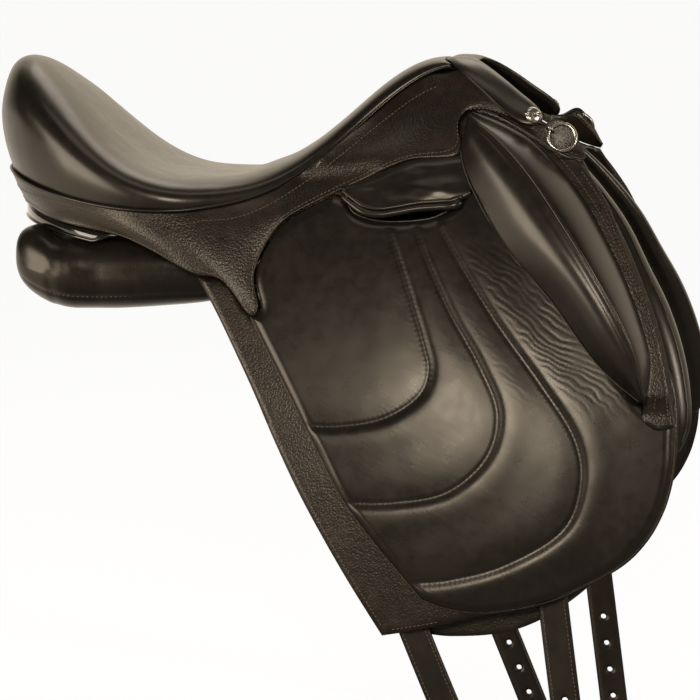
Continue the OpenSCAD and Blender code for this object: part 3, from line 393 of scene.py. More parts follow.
def stitches(path, up, pitch=3.6, length=2.5, thread=0.7, lift=0.1):
    """Thread stitches along a path on a surface with the outward directions up."""
    path, up = np.asarray(path, float), np.asarray(up, float)
    s = lengths(path)
    at = np.arange(pitch / 2, s[-1] - pitch / 3, pitch)
    c = at_lengths(path, s, at)
    t = unit(at_lengths(path, s, at + 0.5) - at_lengths(path, s, at - 0.5))
    n = unit(at_lengths(up, s, at))
    side = unit(np.cross(n, t))
    q = np.array([-1, -0.8, 0, 0.8, 1])
    r = thread / 2 * np.array([0.25, 0.75, 1, 0.75, 0.25])
    a = circle(STITCH_SIDES)
    mid = (c[:, None] + (t + side * STITCH_SLANT)[:, None] * (q * length / 2)[None, :, None]
           + n[:, None] * (lift + thread * 0.3 * (1 - q * q) - thread * 0.15)[None, :, None])
    v = (mid[:, :, None] + side[:, None, None] * (r[:, None] * np.cos(a))[None, :, :, None]
         + n[:, None, None] * (r[:, None] * np.sin(a))[None, :, :, None])
    m = STITCH_SIDES
    i, j = np.meshgrid(np.arange(len(q) - 1), np.arange(m), indexing="ij")
    k = (j + 1) % m
    one = np.stack([i * m + j, i * m + k, (i + 1) * m + k, (i + 1) * m + j], -1)
    f = one.reshape(1, -1, 4) + (np.arange(len(c)) * len(q) * m)[:, None, None]
    return v.reshape(-1, 3), f.reshape(-1, 4).tolist()


def side_stitches(path, out, **how):
    """Stitches along a line on the side surface; out gives the surface's height."""
    q = even(path, 1.5)
    h = out(q) if callable(out) else np.full(len(q), float(out))
    return stitches(on_side(q, h), side_up(q), **how)


# Finishes

class Value:
    """A shader socket; arithmetic on it adds Math nodes."""

    def __init__(self, finish, socket):
        self.finish, self.socket = finish, socket

    def math(self, operation, a, b=0.0):
        return self.finish.node("ShaderNodeMath", {"operation": operation}, {0: a, 1: b})

    def __add__(self, other):
        return self.math("ADD", self, other)

    def __sub__(self, other):
        return self.math("SUBTRACT", self, other)

    def __rsub__(self, other):
        return self.math("SUBTRACT", other, self)

    def __mul__(self, other):
        return self.math("MULTIPLY", self, other)

    __radd__ = __add__
    __rmul__ = __mul__


class Finish:
    """A material with one Principled shader."""

    def __init__(self, name, **fixed):
        self.material = bpy.data.materials.new(name)
        self.material.use_nodes = True
        self.tree = self.material.node_tree
        self.shader = self.tree.nodes["Principled BSDF"]
        for socket, value in fixed.items():
            self.shader.inputs[socket.replace("_", " ")].default_value = value
        self.place = self.node("ShaderNodeTexCoord", {}, {}, "Object")

    def node(self, kind, settings, values, out=0):
        """Adds a node: its settings first, then the values or links of its sockets."""
        n = self.tree.nodes.new(kind)
        for key, value in settings.items():
            setattr(n, key, value)
        for key, value in values.items():
            socket = n.inputs[key]
            if isinstance(value, Value):
                self.tree.links.new(value.socket, socket)
            else:
                socket.default_value = value
        return Value(self, n.outputs[out])

    def feed(self, socket, value):
        self.tree.links.new(value.socket, self.shader.inputs[socket])

    def stretched(self, x, y, z):
        """Object coordinates scaled apart along the three axes."""
        return self.node("ShaderNodeVectorMath", {"operation": "MULTIPLY"},
                         {0: self.place, 1: (x, y, z)}, "Vector")

    def lying(self, angle, ratio):
        """Object coordinates turned about the width, and drawn out along the first axis."""
        return self.node("ShaderNodeMapping", {"vector_type": "TEXTURE"}, {
            "Vector": self.place, "Rotation": (0, math.radians(angle), 0), "Scale": (ratio, 1, 1)}, "Vector")

    def mottle(self, size, detail=3.0, where=None, rough=0.55):
        """Noise from 0 to 1 with patches of the given size in millimetres."""
        return self.node("ShaderNodeTexNoise", {"noise_dimensions": "3D"},
                         {"Vector": where or self.place, "Scale": 1000 / size, "Detail": detail,
                          "Roughness": rough}, 0)

    def pebbles(self, size, where):
        """Rounded cells of the given size in millimetres."""
        return self.node("ShaderNodeTexVoronoi", {"feature": "SMOOTH_F1"},
                         {"Vector": where, "Scale": 1000 / size, "Smoothness": 0.35}, "Distance")

    def between(self, value, low, high, to_low=0.0, to_high=1.0, how="SMOOTHSTEP"):
        """A value's rise between low and high."""
        return self.node("ShaderNodeMapRange", {"interpolation_type": how},
                         {"Value": value, "From Min": low, "From Max": high, "To Min": to_low,
                          "To Max": to_high}, 0)

    def blend(self, factor, a, b):
        """Mix of two colours."""
        return self.node("ShaderNodeMix", {"data_type": "RGBA"}, {0: factor, 6: a, 7: b}, 2)

    def relief(self, height, distance):
        """Bump from a height, whose full range is the given distance in millimetres."""
        self.feed("Normal", self.node("ShaderNodeBump", {}, {
            "Height": height, "Distance": distance * MM, "Strength": 1.0}, "Normal"))

    def ray(self, kind):
        """1 for rays of a kind, 0 for the others."""
        return self.node("ShaderNodeLightPath", {}, {}, f"Is {kind} Ray")

    def axis(self, name):
        """One coordinate of the place."""
        return self.node("ShaderNodeSeparateXYZ", {}, {0: self.place}, name)

    def tint(self, red, green, blue):
        """Colour from three values."""
        return self.node("ShaderNodeCombineColor", {}, {"Red": red, "Green": green, "Blue": blue}, "Color")


def rgb(r, g, b):
    return (r, g, b, 1.0)


WARM = rgb(1.0, 0.88, 0.72)
WANDER = 0.7  # How far a pebble strays, as a share of its size


def leather(name, tone, worn, rough, grain, depth, creases=0.0, lie=0.0, **fixed):
    """Dyed leather: tone is its colour, worn the colour where it has paled, grain its pebble size."""
    f = Finish(name, Specular_Tint=WARM, **fixed)
    broad = f.mottle(70, 3.0)
    fine = f.mottle(9, 4.0)
    stray = f.node("ShaderNodeTexNoise", {}, {
        "Vector": f.place, "Scale": 300 / grain, "Detail": 1.0}, "Color")
    pebble = f.pebbles(grain, f.node("ShaderNodeVectorMath", {"operation": "MULTIPLY_ADD"}, {
        0: stray, 1: (grain * WANDER * MM,) * 3, 2: f.place}, "Vector"))
    wear = f.between(broad * 0.65 + fine * 0.35, 0.40, 0.66)
    f.feed("Base Color", f.blend(wear * 0.8 + pebble * min(0.25, 0.1 * grain), rgb(*tone), rgb(*worn)))
    f.feed("Roughness", f.between(fine * 0.6 + broad * 0.4, 0.3, 0.7, rough - 0.02, rough + 0.04))
    height = pebble * -1.0
    if creases:
        lines = f.mottle(4, 1.0, f.lying(lie, 5.0), 0.6)
        height = height + lines * creases
    f.relief(height, depth)
    return f.material


def plain(name, tone, worn, rough, patch, depth):
    """Even finish with a mottled colour and a fine relief."""
    f = Finish(name)
    broad = f.mottle(patch, 4.0)
    fine = f.mottle(patch * 0.12, 3.0)
    f.feed("Base Color", f.blend(f.between(broad, 0.3, 0.7), rgb(*tone), rgb(*worn)))
    f.feed("Roughness", f.between(fine, 0.25, 0.75, rough - 0.06, rough + 0.06))
    f.relief(fine, depth)
    return f.material


WAVE = 314.0  # Scale of the wave texture for ribs of one millimetre


def woven(name, tone, shade, pitch):
    """Webbing: two crossing sets of ribs."""
    f = Finish(name, Roughness=0.85, Specular_IOR_Level=0.2)

    def ribs(axis):
        return f.node("ShaderNodeTexWave", {"wave_type": "BANDS", "bands_direction": axis},
                      {"Vector": f.place, "Scale": WAVE / pitch, "Distortion": 0.6, "Detail": 1.0}, "Fac")
    cross = ribs("X") * ribs("Z")
    f.feed("Base Color", f.blend(cross * 0.8 + f.mottle(30) * 0.2, rgb(*shade), rgb(*tone)))
    f.relief(cross, 0.5)
    return f.material


def timber(name, tone, shade):
    """Laminated beech with fine grain along the saddle."""
    f = Finish(name, Coat_Weight=0.25, Coat_Roughness=0.2)
    grain = f.mottle(5, 5.0, f.stretched(0.06, 1.0, 1.0))
    f.feed("Base Color", f.blend(f.between(grain, 0.3, 0.7, how="LINEAR"), rgb(*shade), rgb(*tone)))
    f.feed("Roughness", f.between(grain, 0.3, 0.7, 0.38, 0.52))
    f.relief(grain, 0.15)
    return f.material


def metal(name, tone, rough, brushed):
    """Steel with fine scratches along one direction."""
    f = Finish(name, Metallic=1.0)
    lines = f.mottle(1.2, 4.0, f.stretched(0.1, 1.0, 1.0))
    spots = f.mottle(14, 4.0)
    f.feed("Base Color", f.blend(f.between(spots, 0.35, 0.75), rgb(*tone), rgb(*[c * 0.8 for c in tone])))
    f.feed("Roughness", f.between(lines * 0.5 + spots * 0.5, 0.3, 0.7, rough, rough + 0.12))
    f.relief(lines, brushed)
    return f.material


SMOOTH = leather("smooth_leather", (0.0052, 0.0043, 0.0035), (0.0120, 0.0092, 0.0066), 0.29, 0.9, 0.014,
                 creases=0.5, Coat_Weight=0.15, Coat_Roughness=0.2)
PAD_LEATHER = leather("flap_pad_leather", (0.0055, 0.0045, 0.0037), (0.0130, 0.0098, 0.0070), 0.28, 0.9,
                      0.014, creases=3.0, lie=30, Coat_Weight=0.06, Coat_Roughness=0.25)
GRAINED = leather("grained_leather", (0.0062, 0.0046, 0.0036), (0.0230, 0.0140, 0.0086), 0.34, 1.8, 0.24,
                  Coat_Weight=0.10, Coat_Roughness=0.22)
PANEL = leather("panel_leather", (0.0060, 0.0049, 0.0040), (0.0125, 0.0098, 0.0073), 0.27, 1.1, 0.02,
                creases=0.5)
STRAP = leather("billet_leather", (0.0080, 0.0062, 0.0048), (0.0200, 0.0142, 0.0096), 0.38, 1.0, 0.03,
                creases=0.5)
PATENT = leather("patent_leather", (0.0040, 0.0035, 0.0032), (0.0065, 0.0056, 0.0050), 0.12, 1.4, 0.008,
                 Coat_Weight=1.0, Coat_Roughness=0.06)
# Paler leather for cut and bound edges: partly their own worn colour, partly a painted highlight for the
# light that runs along an edge.
EDGE_WEAR_AND_HIGHLIGHT = leather("edge_wear_and_highlight_leather", (0.022, 0.015, 0.010), (0.060, 0.041, 0.026), 0.42, 0.8, 0.04)
THREAD = plain("sewing_thread", (0.100, 0.074, 0.050), (0.165, 0.125, 0.085), 0.62, 2.5, 0.10)
DARK_THREAD = plain("dark_thread", (0.004, 0.0033, 0.0028), (0.010, 0.008, 0.006), 0.7, 2.5, 0.10)
FOAM = plain("stuffing_foam", (0.62, 0.55, 0.38), (0.72, 0.66, 0.48), 0.9, 12, 0.6)
WEBBING = woven("girth_webbing", (0.60, 0.52, 0.38), (0.40, 0.34, 0.24), 1.6)
WOOD = timber("beech_tree", (0.47, 0.29, 0.14), (0.30, 0.17, 0.075))
BRIGHT = metal("bright_steel", (0.50, 0.46, 0.40), 0.20, 0.003)
FORGED = metal("forged_steel", (0.55, 0.55, 0.54), 0.28, 0.04)
PLATE = metal("steel_plate", (0.33, 0.33, 0.33), 0.38, 0.06)

# Making pieces


def piece(name, shape, finish):
    """A smooth mesh object with one material."""
    v, f = shape
    mesh = bpy.data.meshes.new(name)
    mesh.from_pydata((v * MM).tolist(), [], f)
    mesh.polygons.foreach_set("use_smooth", [True] * len(mesh.polygons))
    mesh.materials.append(finish)
    mesh.update()
    obj = bpy.data.objects.new(name, mesh)
    bpy.context.scene.collection.objects.link(obj)
    return obj


def centre(name, shape, finish, nodes):
    """A piece in the middle of the saddle."""
    obj = piece(name, shape, finish)
    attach(obj, "saddle")
    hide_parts(*nodes)


def pair(name, shape, finish, nodes=(), body="saddle", bends=False):
    """The right piece and its mirror image on the left."""
    for side, flip in (("right", 1), ("left", -1)):
        obj = piece(f"{name}_{side}", shape if flip > 0 else mirror(shape), finish)
        if bends:
            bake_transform(obj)
        else:
            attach(obj, body if body == "saddle" else f"{body}_{side}")
        if nodes:
            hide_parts(*[f"{n}_{side}" for n in nodes])


# Seat

NOSE = 0.16  # Share of the seat's rows that turn over the cantle
TOP = 0.72  # Share of a section from the crest to its widest point
CREST_POWER, EDGE_POWER, SEAM_POWER, CROWN_POWER = 1.55, 1.7, 1.6, 2.2
SEAM_LEVEL_X = POMMEL_X - 119  # Where the seam has stopped falling away from the edge
SWEEP = 11  # How far the seat's front edge is drawn forwards
DISH_EASE = 40

def crest(x):
    back = x < SEAT_LOW_X
    s = np.where(back, (x - SEAT_LOW_X) / (CREST_X - SEAT_LOW_X), (x - SEAT_LOW_X) / (POMMEL_X - SEAT_LOW_X))
    rise = ((1 - np.cos(np.pi * np.clip(s, 0, 1))) / 2) ** CREST_POWER
    return lerp(SEAT_LOW_Z, np.where(back, CANTLE_Z, POMMEL_Z), rise)


def plan(x):
    rear = SEAT_HALF * np.sqrt(np.maximum(0, 1 - ((WIDE_X - x) / (WIDE_X + CANTLE_BACK)) ** 2))
    front = lerp(SEAT_HALF, POMMEL_HALF, (1 - np.cos(np.pi * (x - WIDE_X) / (POMMEL_X - WIDE_X))) / 2)
    return np.where(x < WIDE_X, rear, front)


def widest_z(x):
    low = SEAT_LOW_Z - EDGE_DROP
    back = np.clip((SEAT_LOW_X - x) / (SEAT_LOW_X + CANTLE_BACK), 0, None)
    ahead = (x - SEAT_LOW_X) / (POMMEL_X - SEAT_LOW_X)
    return np.where(x < SEAT_LOW_X, low + (CANTLE_MID_Z - low) * back ** EDGE_POWER,
                    crest(x) - lerp(EDGE_DROP, POMMEL_DROP, ease(ahead * 2.5 - 1.5)))


def seam_fall(x):
    s = (x + CANTLE_BACK) / (SEAM_LEVEL_X + CANTLE_BACK)
    return SEAM_DROP + (SEAM_DROP_REAR - SEAM_DROP) * np.maximum(0, 1 - s) ** SEAM_POWER


def seat_row(r):
    """Crest, widest and seam points of the seat at r from 0 at the cantle to 1 at the pommel."""
    r = np.asarray(r, float)
    turn = np.pi / 2 * np.clip(r / NOSE, 0, 1)
    s = np.clip((r - NOSE) / (1 - NOSE), 0, 1)
    rise = lerp(np.radians(35), np.pi / 2, turn / (np.pi / 2))
    cx = np.where(s > 0, lerp(CREST_X, POMMEL_X, s), CREST_X - CANTLE_NOSE * np.cos(rise))
    cz = np.where(s > 0, crest(cx), CANTLE_MID_Z + (CANTLE_Z - CANTLE_MID_Z) * np.sin(rise))
    wx = np.where(s > 0, lerp(CREST_X + 0.5 * CANTLE_NOSE, POMMEL_X, s),
                  -CANTLE_BACK + 1.5 * CANTLE_NOSE * (1 - np.cos(turn)))
    w, wz = plan(wx), widest_z(wx)
    a = WIDE_X + CANTLE_BACK
    rear = unit(np.stack([(wx - WIDE_X) / a ** 2, w / SEAT_HALF ** 2], -1))
    out = np.where((wx < WIDE_X)[..., None], rear, np.array([0.0, 1.0]))
    tuck = 1 + (SEAM_INSET - 1) * (1 - r) ** 2
    swept = wx + SWEEP * ease(5 * s - 4)
    zero = np.zeros_like(cx)
    return (np.stack([cx, zero, cz], -1), np.stack([swept, -w, wz], -1),
            np.stack([swept - tuck * out[..., 0], -(w - tuck * out[..., 1]), wz - seam_fall(wx)], -1))


def seat_point(r, t):
    """Point of the seat at t from 0 on the crest to 1 on the seam."""
    r, t = np.broadcast_arrays(r, t)
    c, w, e = seat_row(r)
    angle = np.pi / 2 * np.clip(t / TOP, 0, 1)
    cos, sin = np.maximum(np.cos(angle), 0), np.sin(angle)
    up = cos ** (2 / CROWN_POWER)
    down = np.clip((t - TOP) / (1 - TOP), 0, 1)
    room = np.minimum(c[..., 0] - CREST_X, 0.2 * POMMEL_X - c[..., 0])
    dish = DISH * cos ** 4 * ease(room / DISH_EASE)
    top = np.stack([lerp(w[..., 0], c[..., 0], up), w[..., 1] * sin ** (2 / CROWN_POWER),
                    lerp(w[..., 2], c[..., 2], up) - dish], -1)
    side = np.stack([lerp(w[..., 0], e[..., 0], down ** 2), lerp(w[..., 1], e[..., 1], down ** 2),
                     lerp(w[..., 2], e[..., 2], down)], -1)
    return np.where((t <= TOP)[..., None], top, side)


EASE_REACH, EASE_WIDTH = 12, 4.5


def seat_lines(r, columns=72):
    """Sections of the seat from its crest to its seam, with its edge eased round."""
    lines = []
    for row in seat_point(np.asarray(r)[:, None], np.linspace(0, 1, 200)[None, :]):
        s = lengths(row)
        lines.append(at_lengths(row, s, np.linspace(0, s[-1], columns)))
    lines = np.array(lines)
    before = lines[:, EASE_REACH:0:-1] * (1, -1, 1)
    after = 2 * lines[:, -1:] - lines[:, -2:-EASE_REACH - 2:-1]
    wide = np.concatenate([before, lines, after], axis=1)
    weight = np.exp(-0.5 * (np.arange(-EASE_REACH, EASE_REACH + 1) / EASE_WIDTH) ** 2)
    weight /= weight.sum()
    return sum(w * wide[:, k:k + columns] for k, w in enumerate(weight))


def seat_skin():
    """Outer skin of the whole seat, slightly uneven."""
    p = seat_lines(np.linspace(0, 1, 150))
    p[:, 0, 1] = 0
    right = grid(p)
    v, f = weld(join((right[0], flipped(right[1])), grid(p * (1, -1, 1))), 0.01)
    n = normals((v, f))
    if np.mean(n[:, 2]) < 0:
        f, n = flipped(f), -n
    soft = 0.35 * noise(v[:, 0] + 0.3 * v[:, 2], v[:, 1], 38, 3) + 0.12 * noise(v[:, 0], v[:, 1], 13, 4)
    return v + n * soft[:, None], f


centre("seat_cover_leather", thicken(seat_skin(), COVER_T), SMOOTH, ("seat_cover",))


def seat_stuffing():
    """The foam under the leather, closed along the seam."""
    gap = 0.8
    rows = []
    shares = np.linspace(0.09, 0.92, 70)
    for r, half in zip(shares, seat_lines(shares, 40)):
        c, w, e = seat_row(r)
        core = np.array([lerp(w[0], c[0], 0.3), 0, e[2] + 6])
        d = half - core
        size = np.linalg.norm(d, axis=1, keepdims=True)
        half = half - unit(d) * np.minimum(COVER_T + gap, 0.6 * size)
        rows.append(np.vstack([half[::-1], half[1:] * (1, -1, 1)]))
    return loft(rows)


centre("seat_stuffing", seat_stuffing(), FOAM, ("seat_foam",))


def seam_out(r):
    _, w, e = seat_row(r)
    d = w - e
    return unit(np.stack([d[..., 0], d[..., 1], 0 * d[..., 0]], -1))


def seam_bulge(r, h):
    """How far the seat stands out over its seam at the height h above it."""
    _, w, e = seat_row(r)
    d = w - e
    k = np.maximum(0, 1 - h / d[..., 2])
    return np.hypot(d[..., 0], d[..., 1]) * (1 - k * k)


def seat_welt():
    """Thin cord sewn into the seam between seat and skirt."""
    thick, above = 2.6, 0.3
    r = np.linspace(0.004, 0.985, 300)
    out = thick / 2 + CLEAR + seam_bulge(r, above + thick)
    path = seat_row(r)[2] + seam_out(r) * out[:, None] + np.array([0, 0, above + thick / 2])
    return tube(even(path, 2.0), thick, 10)


pair("seat_welt", seat_welt(), SMOOTH, ("welt",))

# Skirt and pommel


def from_seat(x, down):
    """Point on the side, from the front of the seat forwards and from its lowest point down."""
    return np.array([POMMEL_X + 8.0 + x, SEAT_LOW_Z - down])


def run(*points):
    return [from_seat(*p) for p in points]


SKIRT_REAR = run((-276, 52), (-246, 62), (-206, 81))
SKIRT_LOBE = run((-178, 88), (-155, 115), (-148, 110), (-153, 80))
OVER_FLAP = run((-134, 42), (-98, 20), (-62, 3))
OVER_SLOT = run((-28, -12), (14, -17))
BLOCK_TIP = run((9, -44), (17, -55), (46, -49))
POMMEL_FOOT = run((82, -29), (101, -18), (119, -12))
RIM_INSET, RIM_DROP = 23, 26


def rim_half(x):
    return (SEAT_HALF - 9) * np.sqrt(np.maximum(
        0, 1 - ((WIDE_X - x) / (WIDE_X + CANTLE_BACK - RIM_INSET)) ** 2))


def cantle_foot(x):
    s = np.clip((WIDE_X - 32 - x) / (CANTLE_BACK - RIM_INSET + WIDE_X - 32), 0, 1)
    return lerp(SEAT_LOW_Z - 52, float(seat_row(0.0)[2][2]) - RIM_DROP, s ** 1.4)


def skirt_low(p):
    h = float(drape(p[0], p[1]))
    if p[0] < WIDE_X:
        h = min(h, float(rim_half(p[0])))
    stand_off = 8 * float(ease((p[0] + 105) / 50) * ease((28 - p[0]) / 30))
    return [p[0], -h - stand_off, p[1]]


FACING_X = POMMEL_X + FACING_W / 2 + CLEAR
FACING_MID = np.array([
    on_side([FACING_X + 77, POMMEL_Z - 52], 10.6), on_side([FACING_X + 54, POMMEL_Z - 36], 9.1),
    [FACING_X + 34, -59, POMMEL_Z - 20], [FACING_X + 16, -46, POMMEL_Z - 7],
    [FACING_X + 5, -29, POMMEL_Z - 1], [FACING_X + 1, -13, POMMEL_Z - 2], [FACING_X, 0, POMMEL_Z - 5]])
FACING_UP = np.array([
    [0.42, -0.80, 0.42], [0.40, -0.74, 0.54], [0.36, -0.66, 0.66], [0.28, -0.52, 0.80],
    [0.14, -0.30, 0.94], [0.04, -0.12, 0.99], [0, 0, 1]])


def facing_edge(i):
    t = unit(FACING_MID[min(i + 1, 6)] - FACING_MID[max(i - 1, 0)])
    across = unit(np.cross(FACING_UP[i], t))
    return (FACING_MID[i] + across * ((0.5 if i == 0 else 1) * FACING_W / 2 - 4)
            - FACING_UP[i] * FACING_T * 0.32)


def under_seam(r):
    return seat_row(r)[2] + seam_out(r) * CLEAR - np.array([0, 0, 0.5])


SEAM_ROWS = np.array([0, 0.08, 0.17, 0.25, 0.33, 0.42, 0.49, 0.53, 0.56, 0.59, 0.64, 0.72, 0.79, 0.89])
SKIRT_FRONT = np.array(
    [under_seam(0.89), seat_row(1.0)[2] + np.array([1, -2, -3])]
    + [facing_edge(i) for i in (3, 2, 1, 0)]
    + [np.array([POMMEL_X + 109, -74, POMMEL_Z - 49]), np.array([POMMEL_X + 129, -75, POMMEL_Z - 80])])
SKIRT_FOOT = np.array(
    [[x, -rim_half(x), cantle_foot(x)] for x in RIM_INSET - CANTLE_BACK + np.array([0, 10, 50])]
    + [skirt_low(p) for p in SKIRT_REAR + SKIRT_LOBE + OVER_FLAP + OVER_SLOT + BLOCK_TIP + POMMEL_FOOT])
TOP_SPANS = len(SEAM_ROWS) + len(SKIRT_FRONT) - 2
SEAM_SHARE = (len(SEAM_ROWS) - 1) / TOP_SPANS


def skirt_top(u):
    """Upper edge of the skirt: along the seam to the pommel, then along the facing to the front."""
    u = np.asarray(u, float)
    rear = under_seam(spline(SEAM_ROWS[:, None], u / SEAM_SHARE)[..., 0])
    ahead = (u - SEAM_SHARE) * TOP_SPANS
    seam = under_seam(lerp(SEAM_ROWS[-1], 1.0, np.clip(ahead, 0, 1)))
    front = spline(SKIRT_FRONT, (u - SEAM_SHARE) / (1 - SEAM_SHARE))
    front = lerp(seam, front, ease((ahead - 0.6) / 0.4)[..., None])
    return np.where((u <= SEAM_SHARE)[..., None], rear, front)


def skirt_point(u, v, off):
    u, v = np.broadcast_arrays(np.asarray(u, float), np.asarray(v, float))
    a, b = skirt_top(u), spline(SKIRT_FOOT, u)
    away = unit(np.stack([-0.9 * ease(1.6 - 9 * u) + 0.3 * ease(10 * u - 8.6), -np.ones_like(u),
                          0.25 * ease(9 * u)], -1))
    lift = off + SWELL * 4 * v * (1 - v) * ease(4 - 4 * u)
    return lerp(a, b, v[..., None]) + away * np.asarray(lift)[..., None]


def skirt_depth(u):
    return np.linalg.norm(skirt_top(u) - spline(SKIRT_FOOT, u), axis=-1)


# Parameters of the skirt along its lower edge, an equal step apart, and down it
FOOT_U = np.linspace(0, 1, 1200)
SKIRT_U = even(np.column_stack([spline(SKIRT_FOOT, FOOT_U), FOOT_U]), 2.0)[:, 3]
SKIRT_U = np.unique(np.r_[0, SKIRT_U, 1])
SKIRT_V = np.linspace(0, 1, 42)
CATCH_OUT = 98.5  # Half width of the room in which the stirrup bar's safety catch turns up


def relax(p, rounds):
    """Draws a net of points smooth between its edges."""
    for _ in range(rounds):
        p[1:-1, 1:-1] = (p[:-2, 1:-1] + p[2:, 1:-1] + p[1:-1, :-2] + p[1:-1, 2:]) / 4


def skirt_skin(off):
    """One face of the skirt, smooth between its edges and kept outside the flap and the raised catch."""
    p = skirt_point(SKIRT_U[:, None], SKIRT_V[None, :], off)
    relax(p, 260)
    x, z = p[..., 0], p[..., 2]
    over = ease((115 - z) / 45) * ease((x + 55) / 80)
    room = ease((x - 30) / 50) * ease((170 - x) / 50) * ease((z - 78) / 26) * ease((170 - z) / 44)
    for least, share in ((drape(x, z) + off + 0.3, over), (CATCH_OUT + off, room)):
        p[..., 1] = np.minimum(p[..., 1], lerp(p[..., 1], -least, share))
    relax(p, 60)
    return p


SKIRT_FACE, SKIRT_BACK = skirt_skin(float(SKIRT_T)), skirt_skin(0.0)


def skirt_face(u, v):
    """Point of the skirt's outer face."""
    i = np.interp(u, SKIRT_U, np.arange(len(SKIRT_U)))
    j = np.clip(v, 0, 1) * (len(SKIRT_V) - 1)
    i0, j0 = np.minimum(i.astype(int), len(SKIRT_U) - 2), np.minimum(j.astype(int), len(SKIRT_V) - 2)
    f, g = (i - i0)[..., None], (j - j0)[..., None]
    return lerp(lerp(SKIRT_FACE[i0, j0], SKIRT_FACE[i0 + 1, j0], f),
                lerp(SKIRT_FACE[i0, j0 + 1], SKIRT_FACE[i0 + 1, j0 + 1], f), g)


def skirt_sheet():
    """Skirt with a rounded edge; each ring runs down its face, round the edge and up its back."""
    rings = []
    for face, back in zip(SKIRT_FACE, SKIRT_BACK):
        down = unit(face[-1] - face[-3])
        nose = [face[-1] + down * 0.7 + (back[-1] - face[-1]) * 0.22,
                (face[-1] + back[-1]) / 2 + down * 1.1,
                back[-1] + down * 0.7 + (face[-1] - back[-1]) * 0.22]
        rings.append(np.vstack([face, nose, back[::-3]]))
    return loft(rings)


pair("skirt_leather", skirt_sheet(), GRAINED, ("skirt",))
SKIRT_RIM = lerp(SKIRT_FACE[:, -1], SKIRT_BACK[:, -1], 0.3)[40:-2]
# A paler cord along the skirt's lower edge: worn edge colour and a painted edge highlight.
pair("skirt_edge_wear_and_highlight", tube(even(SKIRT_RIM, 2.0), 1.3, 8), EDGE_WEAR_AND_HIGHLIGHT)


def skirt_line(u, below=None, above=None):
    """Points and directions on the skirt at a distance below its top or above its lower edge."""
    depth = np.maximum(skirt_depth(u), 1)
    v = below / depth if below is not None else 1 - above / depth
    v = np.clip(v, 0.02, 0.98)
    along = skirt_face(u + 0.003, v) - skirt_face(u - 0.003, v)
    n = unit(np.cross(along, skirt_face(u, v + 0.03) - skirt_face(u, v - 0.03)))
    return skirt_face(u, v), np.where(n[..., 1:2] > 0, -n, n)


def skirt_row(path_u, **where):
    """The same, an equal step apart."""
    p, up = skirt_line(path_u, **where)
    both = even(np.column_stack([p, up]), 1.5)
    return both[:, :3], both[:, 3:]


def skirt_stitching():
    low = SKIRT_U[(SKIRT_U > 0.03) & (SKIRT_U < 0.985)]
    top = np.linspace(0.01, 0.69, 400)
    return join(stitches(*skirt_row(low, above=4.0)), stitches(*skirt_row(top, below=13.0)))


pair("skirt_stitching", skirt_stitching(), THREAD)


def pommel_facing():
    """Smooth padded facing over the head, from stud to stud."""
    mid = np.vstack([FACING_MID, FACING_MID[-2::-1] * (1, -1, 1)])
    up = np.vstack([FACING_UP, FACING_UP[-2::-1] * (1, -1, 1)])
    t = np.linspace(0, 1, 150)
    path, n = spline(mid, t), unit(spline(up, t))
    s = lengths(path)
    end = np.minimum(s, s[-1] - s)
    wide = FACING_W / 2 * arch(np.maximum(end / 16, 0.01)) * lerp(0.8, 1.0, ease(end / 30))
    a = circle(40)
    across = np.sign(np.cos(a)) * np.abs(np.cos(a)) ** 0.7
    over = np.where(np.sin(a) > 0, 0.46 * (1 - np.abs(across) ** 3.2), -np.abs(np.sin(a)) ** 0.7)
    tall = FACING_T / 2 * np.clip(end / 6, 0.15, 1) ** 0.5
    ring = np.stack([wide[:, None] * across, tall[:, None] * over], -1)
    return loft(sections(path, n, ring))


centre("pommel_facing_leather", pommel_facing(), SMOOTH, ("pommel_facing",))

STUD_UP = unit([0.42, -0.80, 0.42])
STUD_AT = lerp(FACING_MID[0], FACING_MID[1], 0.32) + STUD_UP * (0.23 * FACING_T + 2 * CLEAR)


def around(axis):
    """Two directions across an axis, the first as level as can be."""
    a = unit(np.cross(axis, [0, 0, 1]))
    return a, np.cross(axis, a)


def stud_head():
    """Domed stud with a screwdriver slot."""
    a, b = around(STUD_UP)
    profile = [(7.3, -0.3), (7.5, 0.2), (7.4, 0.9), (6.9, 1.6), (6.0, 2.2), (4.6, 2.65), (3.0, 2.9),
               (1.6, 3.0)]
    rings = []
    t = circle(72)
    for r, h in profile:
        x, y = r * np.cos(t), r * np.sin(t)
        cut = np.clip((0.95 - np.abs(y)) / 0.35, 0, 1) * (h > 0.5) * 1.3
        rings.append(STUD_AT + np.outer(x, a) + np.outer(y, b) + np.outer(h - cut, STUD_UP))
    return loft(rings)


pair("stud_head", stud_head(), BRIGHT, ("stud",))

# Dee ring in its staple

RING_BORE, RING_WIRE, STAPLE_WIRE = 20, 3.5, 2
RING_UP = np.array([0.244651, -0.910518, 0.333322])
RING_MID = np.array([286.942, -82.057, 155.445])
RING_R = (RING_BORE + RING_WIRE) / 2
HANG = unit(np.cross(np.cross(RING_UP, [-0.85, 0, 0.53]), RING_UP))
HINGE = RING_MID + HANG * RING_R


def dee_ring():
    a, b = circle(120), circle(20)
    side = np.cross(RING_UP, HANG)
    out = np.cos(a)[:, None] * HANG + np.sin(a)[:, None] * side
    rings = (RING_MID + out[:, None] * (RING_R + RING_WIRE / 2 * np.cos(b))[None, :, None]
             + RING_UP * (RING_WIRE / 2 * np.sin(b))[None, :, None])
    return outward(weld(grid(np.concatenate([rings, rings[:1]]), wrap=True), 0.001))


pair("dee_ring_steel", dee_ring(), BRIGHT, ("dee_ring",), body="dee_ring")


